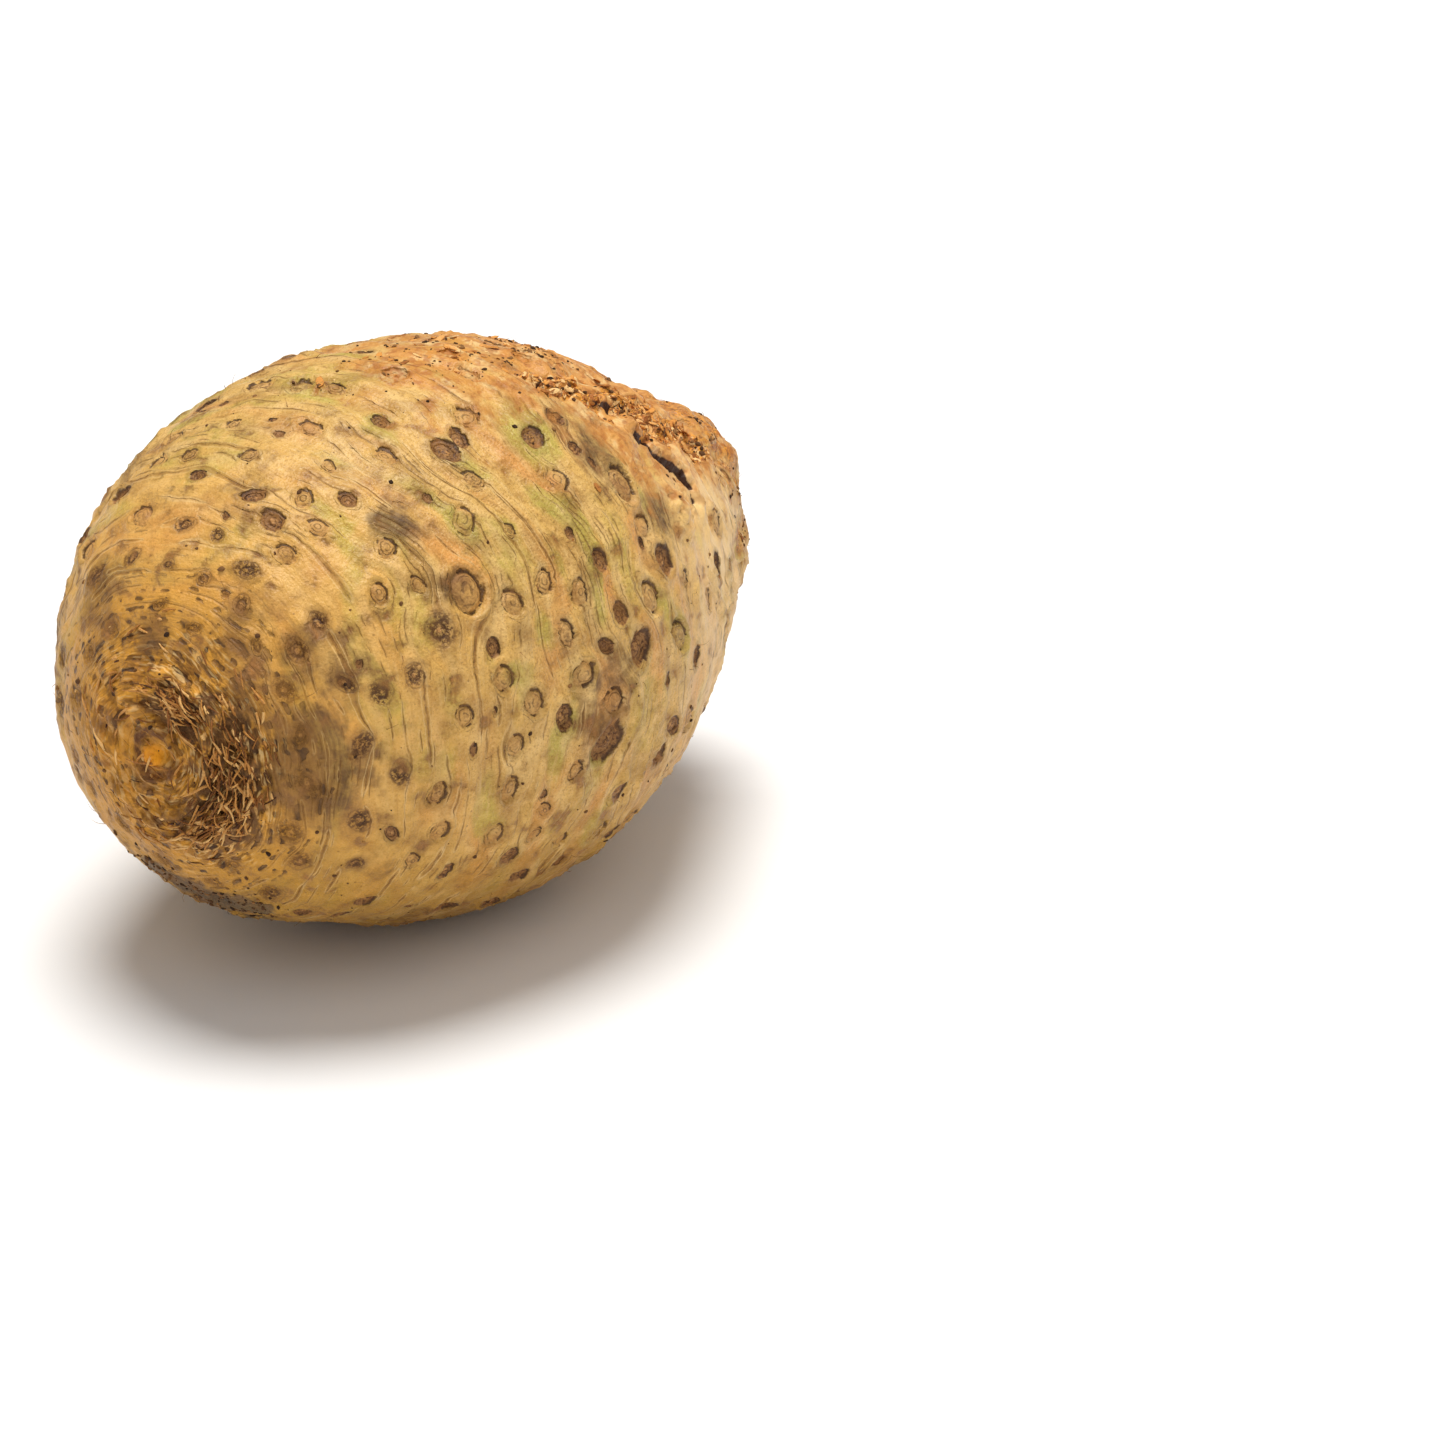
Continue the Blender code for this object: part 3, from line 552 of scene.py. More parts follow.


# The furrows
# Where the root swelled unevenly, the skin lies in bundles of deep wrinkles, with painted shade in their
# depth. Each bundle is given by its corners, in the cracks' terms.
FURROWS = (
    ((66, 27), (67, 40), (65, 50), (67, 56), (71, 64)),
    ((107, 42), (103, 54), (99, 66), (96, 78)),
    ((82, 352), (79, 12), (79, 29), (81, 41)),
    ((70, 140), (75, 156), (78, 170)),
    ((96, 278), (90, 298), (93, 316)),
    ((118, 212), (112, 234), (115, 252)),
)
FURROW_WIDTH = 0.0016
FURROW_DEPTH = 0.00040
FURROW_BUMPS = (0.0003, 0.009, 72)


def furrow_fields(points):
    """The furrows' relief, and how furrowed each point is, 0 to 1."""
    relief = np.zeros(len(points))
    furrowed = np.zeros(len(points))
    for corners in FURROWS:
        away, share = path_places(points, corners)
        away = away + bumps(points, FURROW_BUMPS)
        there = smooth_step(share, 0.0, 0.25) * (1 - smooth_step(share, 0.75, 1.0))
        ridges = 0.7 * hill(np.abs(away), 1.4 * FURROW_WIDTH, FURROW_WIDTH)
        relief += FURROW_DEPTH * there * (ridges - hill(away, 0, 0.7 * FURROW_WIDTH))
        furrowed = np.maximum(furrowed, there * hill(away, 0, 1.5 * FURROW_WIDTH))
    return relief, furrowed


# The skin's mesh
# An even ball of faces is made finer at the scars, on the crown and at the raw places, and each of its
# points is then laid on the skin. The root's own marks go with the points as attributes for its material.
BALL_SUBDIVISIONS = 7
# The turns, with their spreads in degrees, round which the crown is most worn and the low flank is given
# painted shade in a darker olive
WORN_TURN = 85
WORN_SPREAD = 85
UNDERSIDE_SHADE_TURN = 165
UNDERSIDE_SHADE_SPREAD = 70
FINE_SCAR = 1.35
FINEST_CROWN = 0.019
# Grey-brown stains: reach in millimetres, turn, spread along in millimetres and round in degrees, strength
STAINS = (
    (45, 72, 13, 40, 0.4), (31, 30, 9, 13, 0.8), (32, 78, 9, 14, 1.2), (31, 94, 11, 18, 1.4),
    (40, 88, 7, 14, 0.9), (42, 58, 10, 14, 0.75), (90, 158, 50, 22, 0.45), (34, 320, 10, 16, 0.9),
    (68, 36, 7, 7, 1.1), (70, 56, 7, 6, 0.9), (120, 44, 9, 9, 1), (22, 351, 6, 14, 0.9),
    (11, 40, 5, 26, 0.9), (130, 61, 8, 9, 1), (119, 36, 12, 12, 0.7), (36, 46, 8, 10, 0.7),
    (21, 60, 9, 30, 0.8), (38, 190, 12, 24, 0.8), (88, 210, 16, 20, 0.8), (110, 285, 14, 16, 0.9),
    (70, 318, 12, 14, 0.6), (145, 140, 12, 18, 0.7), (62, 240, 14, 18, 0.8), (130, 235, 12, 16, 0.7),
    (48, 280, 10, 18, 0.7),
)
# Bands of colour along the rings, each by spacing, length and seed
ORANGE_BANDS = (0.017, 0.050, 61)
GREEN_BANDS = (0.014, 0.042, 62)
PALE_BANDS = (0.008, 0.034, 63)
# Weathering, and where clusters of crumbs, wrinkles and more stains lie, each by wavelength and seed
WEATHERING = ((0.8, 0.012, 81), (0.5, 0.006, 82))
CLUSTERS = (0.0050, 71)
WRINKLES = (0.022, 83)
STAIN_CLOUDS = (0.028, 84)
# Where crumbs lie along the top: reach, turn, spread along, spread round in degrees
CRUMBLY_TOP = (0.130, 7, 0.026, 12)
# Dried soil where the root lay in the ground, in the stains' terms
SOIL = (
    (38, 197, 6, 12, 1), (39, 182, 6, 12, 1), (42, 168, 5, 10, 0.9), (52, 176, 5, 8, 0.6),
    (150, 210, 8, 14, 0.8), (176, 160, 8, 14, 0.7),
)
# Green tints, in the stains' terms
GREEN_TINTS = (
    (59, 56, 7, 12, 1), (45, 76, 6, 14, 1), (84, 52, 9, 9, 1), (91, 354, 10, 16, 1), (54, 92, 6, 12, 0.9),
    (66, 344, 10, 14, 0.8), (110, 64, 6, 12, 0.9), (112, 96, 8, 14, 0.9), (46, 12, 6, 10, 0.8),
)


def ball_places(bm):
    """The reach and turn of a ball's points, the bud at -X."""
    directions = np.array([vert.co for vert in bm.verts])
    directions /= np.linalg.norm(directions, axis=1, keepdims=True)
    reach = np.arccos(np.clip(-directions[:, 0], -1, 1)) / np.pi * WHOLE_REACH
    return reach, np.degrees(np.arctan2(-directions[:, 1], directions[:, 2])) % 360


def refine(bm, fine):
    """Splits the edges between points that are marked as fine."""
    bm.verts.index_update()
    edges = [edge for edge in bm.edges if fine[edge.verts[0].index] and fine[edge.verts[1].index]]
    bmesh.ops.subdivide_edges(bm, edges=edges, cuts=1, use_grid_fill=True)
    bmesh.ops.triangulate(bm, faces=[face for face in bm.faces if len(face.verts) > 3])


def fine_ball():
    """The ball of faces, finer where the skin has small forms."""
    bm = bmesh.new()
    bmesh.ops.create_icosphere(bm, subdivisions=BALL_SUBDIVISIONS, radius=1.0)
    reach, turn = ball_places(bm)
    plain = skin_points(reach, turn, 0)
    crack_shade = crack_fields(plain)[1]
    torn, end = end_fields(reach, turn, plain)[1:]
    fine = (scar_fields(reach, turn)["away"] < FINE_SCAR) | (crack_shade > 0.01) | (reach < CROWN_REACH)
    refine(bm, fine | (torn > 0.05) | (end > 0.6))
    reach, turn = ball_places(bm)
    refine(bm, reach < FINEST_CROWN)
    return bm


def patches(reach, turn, places):
    """Soft patches at listed places, 0 to 1."""
    share = np.zeros_like(reach)
    for patch_reach, patch_turn, spread, turn_spread, strength in places:
        here = spot(reach, turn, patch_reach / 1000, patch_turn, spread / 1000, turn_spread)
        share = np.maximum(share, strength * here)
    return share


def laid_down(points):
    """The points with the lowest pressed level and the middle of their box moved over the origin."""
    level = points[:, 2].min() + FLAT_DEPTH
    points[:, 2] = np.maximum(points[:, 2], level)
    middle = (points.min(axis=0) + points.max(axis=0)) / 2
    shift = np.array([-middle[0], -middle[1], -level])
    return points + shift, shift


def put_in_scene(name, data):
    """A new object in the scene."""
    thing = bpy.data.objects.new(name, data)
    bpy.context.scene.collection.objects.link(thing)
    return thing


def dressed_skin():
    """The root's skin as a closed fine mesh in its place with its fields, and where its axis lies."""
    bm = fine_ball()
    reach, turn = ball_places(bm)
    mesh = bpy.data.meshes.new("root_skin")
    bm.to_mesh(mesh)
    bm.free()
    plain = skin_points(reach, turn, 0)
    scar = scar_fields(reach, turn)
    rings = growth_rings(reach, plain, scar["bend"])
    cracks, crack_shade = crack_fields(plain)
    stubs, cut_face = stub_fields(plain)
    furrows, furrowed = furrow_fields(plain)
    flush, torn, end = end_fields(reach, turn, plain)
    mat = np.maximum(spot(reach, turn, *MAT), 1.2 * spot(reach, turn, *CLUMP))
    soil = patches(reach, turn, SOIL)
    relief = fold_relief(reach, rings, plain) + scar_relief(scar) * (1 - 0.7 * torn)
    relief += crown_relief(reach, turn, plain) + end_relief(reach, turn, torn, end, plain)
    relief += cracks + stubs + furrows
    near_flat = spot(reach, turn, FLAT_REACH, 180, FLAT_SMOOTH_REACH, FLAT_SMOOTH_TURN)
    points, shift = laid_down(skin_points(reach, turn, relief * (1 - near_flat)))
    mesh.vertices.foreach_set("co", points.astype(np.float32).ravel())
    angle = np.radians(turn)
    crown = 1 - smooth_step(reach, 0.9 * CROWN_REACH, 1.25 * CROWN_REACH)
    top = spot(reach, turn, *CRUMBLY_TOP)
    lifted = smooth_step(points[:, 2], 0.001, 0.003)
    clusters = smooth_step(ripple(plain, *CLUSTERS), 0.2, 1.6)
    clouds = smooth_step(ripple(plain, *STAIN_CLOUDS), 0.5, 1.9)
    green_bands = ring_bands(rings, plain, *GREEN_BANDS)
    fields = {
        "reach": reach,
        "rings": rings,
        "scar_away": scar["away"],
        "scar_place": np.stack([scar["across"], scar["onward"], scar["tone"]], axis=-1),
        "scar_dark": np.isin(scar["kind"], (DARK, PIT)),
        "scar_eye": scar["kind"] == EYE,
        "crack": crack_shade,
        "furrowed": furrowed,
        "crown_worn": 0.48 + 0.52 * hill(turn_from(turn, WORN_TURN), 0, WORN_SPREAD),
        "weathered": bumps(plain, *WEATHERING),
        "wrinkly": smooth_step(ripple(plain, *WRINKLES), 0.3, 1.6),
        "underside_shade": hill(turn_from(turn, UNDERSIDE_SHADE_TURN), 0, UNDERSIDE_SHADE_SPREAD),
        "cut_face": cut_face,
        "flush": flush,
        "torn": torn,
        "raw_end": end,
        "mat": mat,
        "stain": np.maximum(patches(reach, turn, STAINS), 0.62 * clouds),
        "soil": soil,
        "orange": ring_bands(rings, plain, *ORANGE_BANDS),
        "green": np.maximum(green_bands - 0.3, patches(reach, turn, GREEN_TINTS)),
        "pale": ring_bands(rings, plain, *PALE_BANDS),
        "round_way": np.stack([0 * angle, -np.cos(angle), -np.sin(angle)], axis=-1),
        "fibres": (mat * mat + 0.04 * crown) * lifted,
        "crumbs": (clusters * (1.0 * top + 0.7 * torn + 0.20 * end) + 0.5 * soil + 0.003) * lifted,
        "flakes": (0.03 * top + 0.26 * torn + clusters * (0.02 * end + 0.01 * flush)) * lifted,
        "hairs": (0.006 + 0.01 * end + 0.02 * crown) * lifted,
    }
    for name, values in fields.items():
        kind, key = ("FLOAT_VECTOR", "vector") if np.ndim(values) == 2 else ("FLOAT", "value")
        attribute = mesh.attributes.new(name, kind, "POINT")
        attribute.data.foreach_set(key, np.asarray(values, dtype=np.float32).ravel())
    mesh.shade_smooth()
    return put_in_scene("root_skin", mesh), shift


root_skin, axis_place = dressed_skin()


# The skin's colours
# Dry tan skin, flushed orange and green in bands along the growth rings, with hairlines, scars and dirt, and
# with painted shade at the creases, scar grooves, cracks, furrows, crown dashes and low flank, and painted
# light on the creases' crests and the root end
class Socket:
    """A socket in a node tree, with Python's operators."""

    def __init__(self, tree, socket=None):
        self.tree = tree
        self.socket = socket

    def node(self, kind, settings=None, inputs=None, output=0):
        """Adds a node: first its settings, then the values or the links of its sockets."""
        made = self.tree.nodes.new(kind)
        for name, value in (settings or {}).items():
            setattr(made, name, value)
        for name, value in (inputs or {}).items():
            if isinstance(value, Socket):
                self.tree.links.new(value.socket, made.inputs[name])
            else:
                made.inputs[name].default_value = value
        return Socket(self.tree, made.outputs[output])

    def beside(self, name):
        """Another output of the same node."""
        return Socket(self.tree, self.socket.node.outputs[name])

    def math(self, operation, first, second=0.0):
        return self.node("ShaderNodeMath", {"operation": operation}, {0: first, 1: second})

    def __add__(self, other):
        return self.math("ADD", self, other)

    def __radd__(self, other):
        return self.math("ADD", other, self)

    def __sub__(self, other):
        return self.math("SUBTRACT", self, other)

    def __rsub__(self, other):
        return self.math("SUBTRACT", other, self)

    def __mul__(self, other):
        return self.math("MULTIPLY", self, other)

    def __rmul__(self, other):
        return self.math("MULTIPLY", other, self)

    def __truediv__(self, other):
        return self.math("DIVIDE", self, other)

    def __pow__(self, other):
        return self.math("POWER", self, other)

    def larger(self, other):
        return self.math("MAXIMUM", self, other)

    def away_from(self, value):
        return self.math("ABSOLUTE", self - value)

    def near(self, value, width):
        """1 at a value and 0 a width away from it."""
        return self.away_from(value).rise(width, 0.0)

    def rise(self, low, high):
        """0 below low, 1 above high and a smooth rise between them. High may be the lower one."""
        return self.node("ShaderNodeMapRange", {"interpolation_type": "SMOOTHSTEP"},
                         {"Value": self, "From Min": low, "From Max": high})

    def over(self, below, above):
        """Mixes two colours by this share."""
        return self.node("ShaderNodeMix", {"data_type": "RGBA"}, {0: self, 6: below, 7: above}, output=2)


class SkinSocket(Socket):
    """What patterns on this root start from: its place in millimetres and its stored fields."""

    def __init__(self, tree):
        super().__init__(tree)
        place = self.node("ShaderNodeTexCoord", output="Object")
        self.mm = self.node("ShaderNodeVectorMath", {"operation": "SCALE"}, {0: place, "Scale": 1000.0})

    def field(self, name):
        return self.node("ShaderNodeAttribute", {"attribute_name": name}, output="Fac")

    def place(self, length):
        return self.node("ShaderNodeVectorMath", {"operation": "SCALE"}, {0: self.mm, "Scale": 1 / length})

    def noise(self, place, w, scale=1.0, detail=1.0, rough=0.5):
        return self.node("ShaderNodeTexNoise", {"noise_dimensions": "4D"},
                         {"Vector": place, "W": w, "Scale": scale, "Detail": detail, "Roughness": rough})

    def mottle(self, size, seed, detail=2.0, rough=0.5):
        """Cloudy patches of a size in millimetres."""
        return self.noise(self.mm, 7.3 * seed * size, 1 / size, detail, rough)

    def grain(self, rings_mm, spacing, length, seed, detail=1.0):
        """Streaks along the growth rings, by their spacing and length in millimetres."""
        return self.noise(self.place(length), rings_mm / spacing + 11.7 * seed, detail=detail)

    def creases(self, rings_mm, spacing, width, length, share, seed):
        """Lines along the growth rings, each there for a share of its way, and the hollow beside them."""
        turns = rings_mm / spacing + 0.35 * self.mottle(6 * spacing ** 0.5, seed, 1.0)
        index = turns.math("FLOOR", turns)
        offset = 0.28 * index.math("SINE", 12.9 * index)
        away = spacing * (turns - index - offset).away_from(0.5)
        there = self.noise(self.place(length), 3.7 * index + 17.3 * seed)
        there = there.rise(0.66 - 0.3 * share, 0.76 - 0.3 * share)
        line = (away / (there * width + 0.001)).rise(1.25, 0.35) * there.rise(0.0, 0.3)
        return line, away.rise(5.0 * width, 0.0) * there

    def spots(self, cell, radius, share, seed):
        """Small round spots, one in a share of the cells, by sizes in millimetres."""
        moved = self.node("ShaderNodeVectorMath", {"operation": "ADD"}, {0: self.mm, 1: (seed, seed, seed)})
        cells = self.node("ShaderNodeTexVoronoi", None, {"Vector": moved, "Scale": 1 / cell},
                          output="Distance")
        chosen = self.node("ShaderNodeSeparateColor", None, {"Color": cells.beside("Color")})
        size = radius / cell
        return cells.rise(1.2 * size, 0.6 * size) * chosen.rise(1 - share, 1.02 - share)


def paint(red, green, blue):
    """A colour from its screen values, 0 to 255, as the shader takes it."""
    channels = [value / 255 for value in (red, green, blue)]
    return tuple(c / 12.92 if c <= 0.04045 else ((c + 0.055) / 1.055) ** 2.4 for c in channels) + (1.0,)


TAN = paint(226, 180, 100)
PALE_TAN_AND_HIGHLIGHT = paint(238, 200, 134)
ORANGE_FLUSH = paint(222, 150, 78)
GOLDEN = paint(226, 168, 78)
UNDERSIDE_SHADE_OLIVE = paint(166, 120, 28)
GREEN_FLUSH = paint(184, 178, 76)
STREAK_AND_SHADE = paint(152, 106, 48)
CREASE = paint(116, 70, 26)
SCAR_LINE = paint(64, 36, 16)
SCAR_BROWN = paint(112, 70, 34)
SCAR_TISSUE = paint(208, 150, 86)
STAIN_AND_SHADE = paint(94, 68, 40)
SOIL_GREY = paint(92, 76, 56)
CROWN_GOLD = paint(212, 146, 42)
CROWN_BROWN_AND_SHADE = paint(96, 54, 16)
CROWN_DARK = paint(52, 28, 10)
BUD = paint(234, 150, 10)
RAW_ORANGE = paint(218, 142, 58)
RAW_BROWN = paint(172, 120, 66)
RAW_GOLD = paint(236, 160, 58)
RAW_RUST = paint(176, 102, 44)
RAW_PALE = paint(248, 208, 144)
DARK_CRUMB_AND_CRACK_SHADE = paint(66, 36, 16)
CUT_FACE = paint(208, 172, 118)


def layered(colour, *layers):
    """A colour with others laid over it in turn, each given as its share and itself."""
    for share, above in layers:
        colour = share.over(colour, above)
    return colour


def new_material(name):
    """A material and its shader."""
    material = bpy.data.materials.new(name)
    material.use_nodes = True
    return material, material.node_tree.nodes["Principled BSDF"]


def skin_material():
    material, shader = new_material("celeriac skin")
    skin = SkinSocket(material.node_tree)
    rings_mm = 1000 * skin.field("rings") + 0.5 * skin.mottle(1.6, 1, 1.0)
    reach_mm = 1000 * skin.field("reach")
    cloudy = skin.mottle(4.0, 2, 3.0) - 0.5
    wavy = skin.mottle(2.6, 12, 1.0)
    crumbly = skin.mottle(0.8, 13, 1.0, 0.6)
    speckle = skin.mottle(1.3, 5, 2.0, 0.68)
    broken = skin.mottle(1.9, 14, 2.0)
    smudged = skin.mottle(4.6, 17, 3.0, 0.68)
    fibrous = skin.mottle(0.55, 15, 1.0, 0.6)

    def area(field, clouding, low, high):
        """Where a field of the skin lies, with a cloudy edge."""
        return (skin.field(field) + clouding * cloudy).rise(low, high)

    # Soft bands of colour, mottled and finely grained
    orange = area("orange", 3.4, -0.3, 1.8)
    green = area("green", 3.0, 0.1, 1.4)
    pale = area("pale", -3.0, -0.2, 1.9)
    weathered = area("weathered", 2.4, 0.1, 1.5)
    streaks = skin.grain(rings_mm, 0.8, 8, 4, 2.0)
    mottled = speckle.rise(0.46, 0.78)
    grit = skin.mottle(0.42, 25, 1.0, 0.6)
    golden = (reach_mm + 60 * cloudy).rise(82, 28)
    underside_shade = area("underside_shade", 1.2, 0.10, 0.95)
    # Paler towards the root end: partly the skin's own pale colour and partly painted light, held back on the
    # low flank.
    paler_and_lit = (reach_mm + 60 * cloudy).rise(114, 156) * (1 - 0.6 * underside_shade)
    pores = skin.spots(2.6, 0.30, 0.30, 3)
    colour = layered(
        TAN,
        (0.72 * orange, ORANGE_FLUSH),
        (0.70 * green, GREEN_FLUSH),
        (0.50 * pale, PALE_TAN_AND_HIGHLIGHT),
        (0.34 * weathered, STREAK_AND_SHADE),
        (0.44 * streaks.rise(0.50, 0.76), STREAK_AND_SHADE),
        (0.38 * streaks.rise(0.46, 0.28), PALE_TAN_AND_HIGHLIGHT),
        (0.36 * mottled, STREAK_AND_SHADE),
        (0.50 * grit.rise(0.54, 0.70), STREAK_AND_SHADE),
        (0.36 * grit.rise(0.45, 0.32), PALE_TAN_AND_HIGHLIGHT),
        (0.60 * golden * (0.4 + 1.2 * smudged), GOLDEN),
        # Painted shade: the low flank is darkened to olive.
        (0.70 * underside_shade, UNDERSIDE_SHADE_OLIVE),
        (0.80 * paler_and_lit * (1 - 0.6 * skin.field("raw_end")), RAW_PALE),
        (0.45 * pores, CREASE))

    # Each scar is a broken ring with others inside and outside it. The ring is drawn wider and darker on its
    # far side, as painted shade in its groove.
    apart = skin.node("ShaderNodeSeparateXYZ", None, {0: skin.node(
        "ShaderNodeAttribute", {"attribute_name": "scar_place"}, output="Vector")})
    across, onward, tone = apart, apart.beside("Y"), apart.beside("Z")
    straight = (across * across + onward * onward) ** 0.5
    beyond = skin.field("scar_away") - straight
    away = straight + beyond * beyond.rise(0.08, 0.16)
    away = away + 0.50 * (wavy - 0.5) + 0.22 * (crumbly - 0.5)
    # How far a point lies towards the scar's far side, where the ring gets painted shade
    shaded_side = (0.5 + (0.45 * onward - 0.22 * across) / (straight + 0.05)).rise(0.0, 1.0)
    dark = skin.field("scar_dark")
    eye = skin.field("scar_eye")
    plain_scar = 1 - eye
    rim = away.away_from(0.92).rise(0.09 + 0.11 * shaded_side, 0.02) * broken.rise(0.60 - 0.40 * shaded_side, 0.30)
    second = away.near(0.62, 0.09) * broken.rise(0.58, 0.42)
    third = away.near(0.30, 0.10) * broken.rise(0.42, 0.56)
    outer = away.near(1.30, 0.08) * (1 - shaded_side) * broken.rise(0.44, 0.60)
    scar_lines = rim.larger(0.6 * second).larger(0.6 * third).larger(0.4 * outer) * plain_scar
    inside = away.rise(1.0, 0.84)
    halo = away.rise(1.7, 0.9) * plain_scar
    fill = dark * (0.60 + 0.35 * fibrous.rise(0.35, 0.65))
    fill = fill + (1 - dark) * (0.10 + 0.50 * tone) * fibrous.rise(0.35, 0.65)
    soft = (away + 3.0 * cloudy).rise(1.9, 0.3) * eye
    core = (away + 1.8 * cloudy).rise(1.20, 0.60) * eye * fibrous.rise(0.40, 0.56)
    eye_lines = (away.near(0.50, 0.20) + 0.40 * away.near(1.05, 0.14)) * eye
    clear = (1 - inside) * (1 - eye * away.rise(1.1, 0.9))

    # Creases run along the growth rings between the scars, and stained skin is finely wrinkled. Beside the
    # creases the hollows get painted shade and the crests a painted highlight.
    stain = area("stain", 1.6, 0.25, 0.95)
    smudges = 0.54 + 0.28 * smudged.rise(0.44, 0.58) + 0.24 * streaks.rise(0.38, 0.60)
    furrowed = skin.field("furrowed")
    wrinkles, wrinkle_hollow = skin.creases(rings_mm, 1.3, 0.13, 5, 0.45 + 0.55 * furrowed, 6)
    wrinkled = (stain + 1.6 * furrowed + 1.1 * skin.field("wrinkly")).rise(0.2, 0.9)
    fine, fine_hollow = skin.creases(rings_mm, 2.6, 0.13, 11, 0.42, 8)
    long, long_hollow = skin.creases(rings_mm, 6.8, 0.20, 26, 0.46, 9)
    patchy = 0.30 + 0.70 * broken.rise(0.40, 0.58)
    crease_share = (0.95 * long * streaks.rise(0.34, 0.50)).larger(0.75 * fine)
    crease_share = (patchy * crease_share).larger(0.65 * wrinkles * wrinkled) * clear
    shaded = (0.52 * long_hollow).larger(0.34 * fine_hollow).larger(0.3 * wrinkle_hollow * wrinkled) * clear
    crest_highlights = long_hollow.near(0.30, 0.22) + 0.8 * fine_hollow.near(0.35, 0.22)
    furrow_shade = furrowed * (1 - inside) * (0.5 + 1.4 * cloudy).rise(0.1, 0.8)
    colour = layered(
        colour,
        (stain * smudges, STAIN_AND_SHADE),
        # Painted shade in the hollows beside the creases
        (shaded, STREAK_AND_SHADE),
        # Painted highlight along the creases' crests
        (0.50 * crest_highlights * clear, PALE_TAN_AND_HIGHLIGHT),
        # Painted shade in the depth of the furrows
        (0.50 * furrow_shade, STAIN_AND_SHADE),
        (0.60 * crease_share, CREASE),
        (halo * (0.12 + 0.35 * dark * tone), STAIN_AND_SHADE),
        (inside * plain_scar * (0.30 + 0.30 * dark), SCAR_TISSUE),
        (inside * plain_scar * fill, SCAR_BROWN),
        (0.90 * scar_lines, SCAR_LINE),
        (0.7 * dark * inside * fibrous.rise(0.56, 0.68), SCAR_LINE),
        (0.6 * dark * away.rise(0.45, 0.15) * fibrous.rise(0.52, 0.40), SCAR_TISSUE),
        (soft * (0.42 + 0.24 * tone + 0.34 * fibrous.rise(0.35, 0.62)), SCAR_BROWN),
        (0.70 * core, SCAR_LINE),
        (0.9 * eye_lines * broken.rise(0.36, 0.50), SCAR_LINE),
        (0.6 * away.rise(0.24, 0.10) * eye, SCAR_TISSUE))

    # The crown is golden, browned and shredded, with dashes round it that have painted shade beside them,
    # soft dark eyes and the bud.
    ragged = reach_mm + 24 * cloudy
    crown = ragged.rise(42, 18)
    dashes, dash_shade = skin.creases(rings_mm, 2.7, 0.55, 2.4, 0.50, 16)
    dash_zone = ragged.rise(42, 26)
    browned = smudged.rise(0.48, 0.58)
    inner = ragged.rise(31, 19) * skin.field("crown_worn")
    shreds = skin.grain(rings_mm, 0.6, 3.0, 18, 1.0)
    mat = area("mat", 2.4, 0.20, 0.58)
    bud_mm = reach_mm + 2.0 * (broken - 0.5)
    colour = layered(
        colour,
        (0.85 * crown, CROWN_GOLD),
        (0.80 * inner * browned, CROWN_BROWN_AND_SHADE),
        # Painted shade beside the crown's dashes
        (0.5 * dash_zone * dash_shade * clear, CROWN_BROWN_AND_SHADE),
        (dash_zone * dashes * (0.35 + 0.50 * smudged.rise(0.42, 0.56)) * clear, CROWN_DARK),
        (0.60 * inner * shreds.rise(0.52, 0.62), CROWN_DARK),
        (0.75 * inner * shreds.rise(0.46, 0.34), PALE_TAN_AND_HIGHLIGHT),
        (0.70 * stain * crown, STAIN_AND_SHADE),
        (0.80 * soft * crown * (0.30 + 0.70 * fibrous.rise(0.35, 0.58)), CROWN_DARK),
        (0.80 * mat * shreds.rise(0.30, 0.48), CROWN_DARK),
        (0.5 * bud_mm.rise(7.0, 4.0), CROWN_GOLD),
        (bud_mm.away_from(4.8).rise(1.9, 0.4) * (0.68 + 0.30 * browned), CROWN_BROWN_AND_SHADE),
        (0.95 * bud_mm.rise(3.2, 1.4), BUD))

    # The raw places, dried soil, cut faces and cracks
    flush = area("flush", 1.8, 0.15, 0.85)
    raw_colour = smudged.rise(0.48, 0.66).over(RAW_ORANGE, RAW_PALE)
    torn = skin.field("torn")
    end = skin.field("raw_end")
    rough = torn + 0.45 * end + 0.16 * flush
    torn_colour = layered(
        RAW_GOLD,
        (speckle.rise(0.44, 0.54), RAW_RUST),
        (0.7 * broken.rise(0.54, 0.62), RAW_PALE),
        (0.8 * crumbly.rise(0.57, 0.65), DARK_CRUMB_AND_CRACK_SHADE))
    soil = area("soil", 1.2, 0.25, 0.55)
    cut = skin.field("cut_face") + 0.5 * cloudy
    colour = layered(
        colour,
        (0.70 * flush, raw_colour),
        (0.65 * flush * broken.rise(0.48, 0.62), RAW_RUST),
        (0.75 * end * browned, RAW_BROWN),
        (0.9 * (rough + 1.6 * cloudy).rise(0.35, 0.80), torn_colour),
        (0.85 * soil, SOIL_GREY),
        (0.7 * cut.away_from(0.25).rise(0.30, 0.05), RAW_BROWN),
        (0.7 * cut.rise(0.3, 0.8), CUT_FACE),
        # Painted shade in the depth of the cracks
        (area("crack", 0.8, 0.50, 0.68), DARK_CRUMB_AND_CRACK_SHADE))

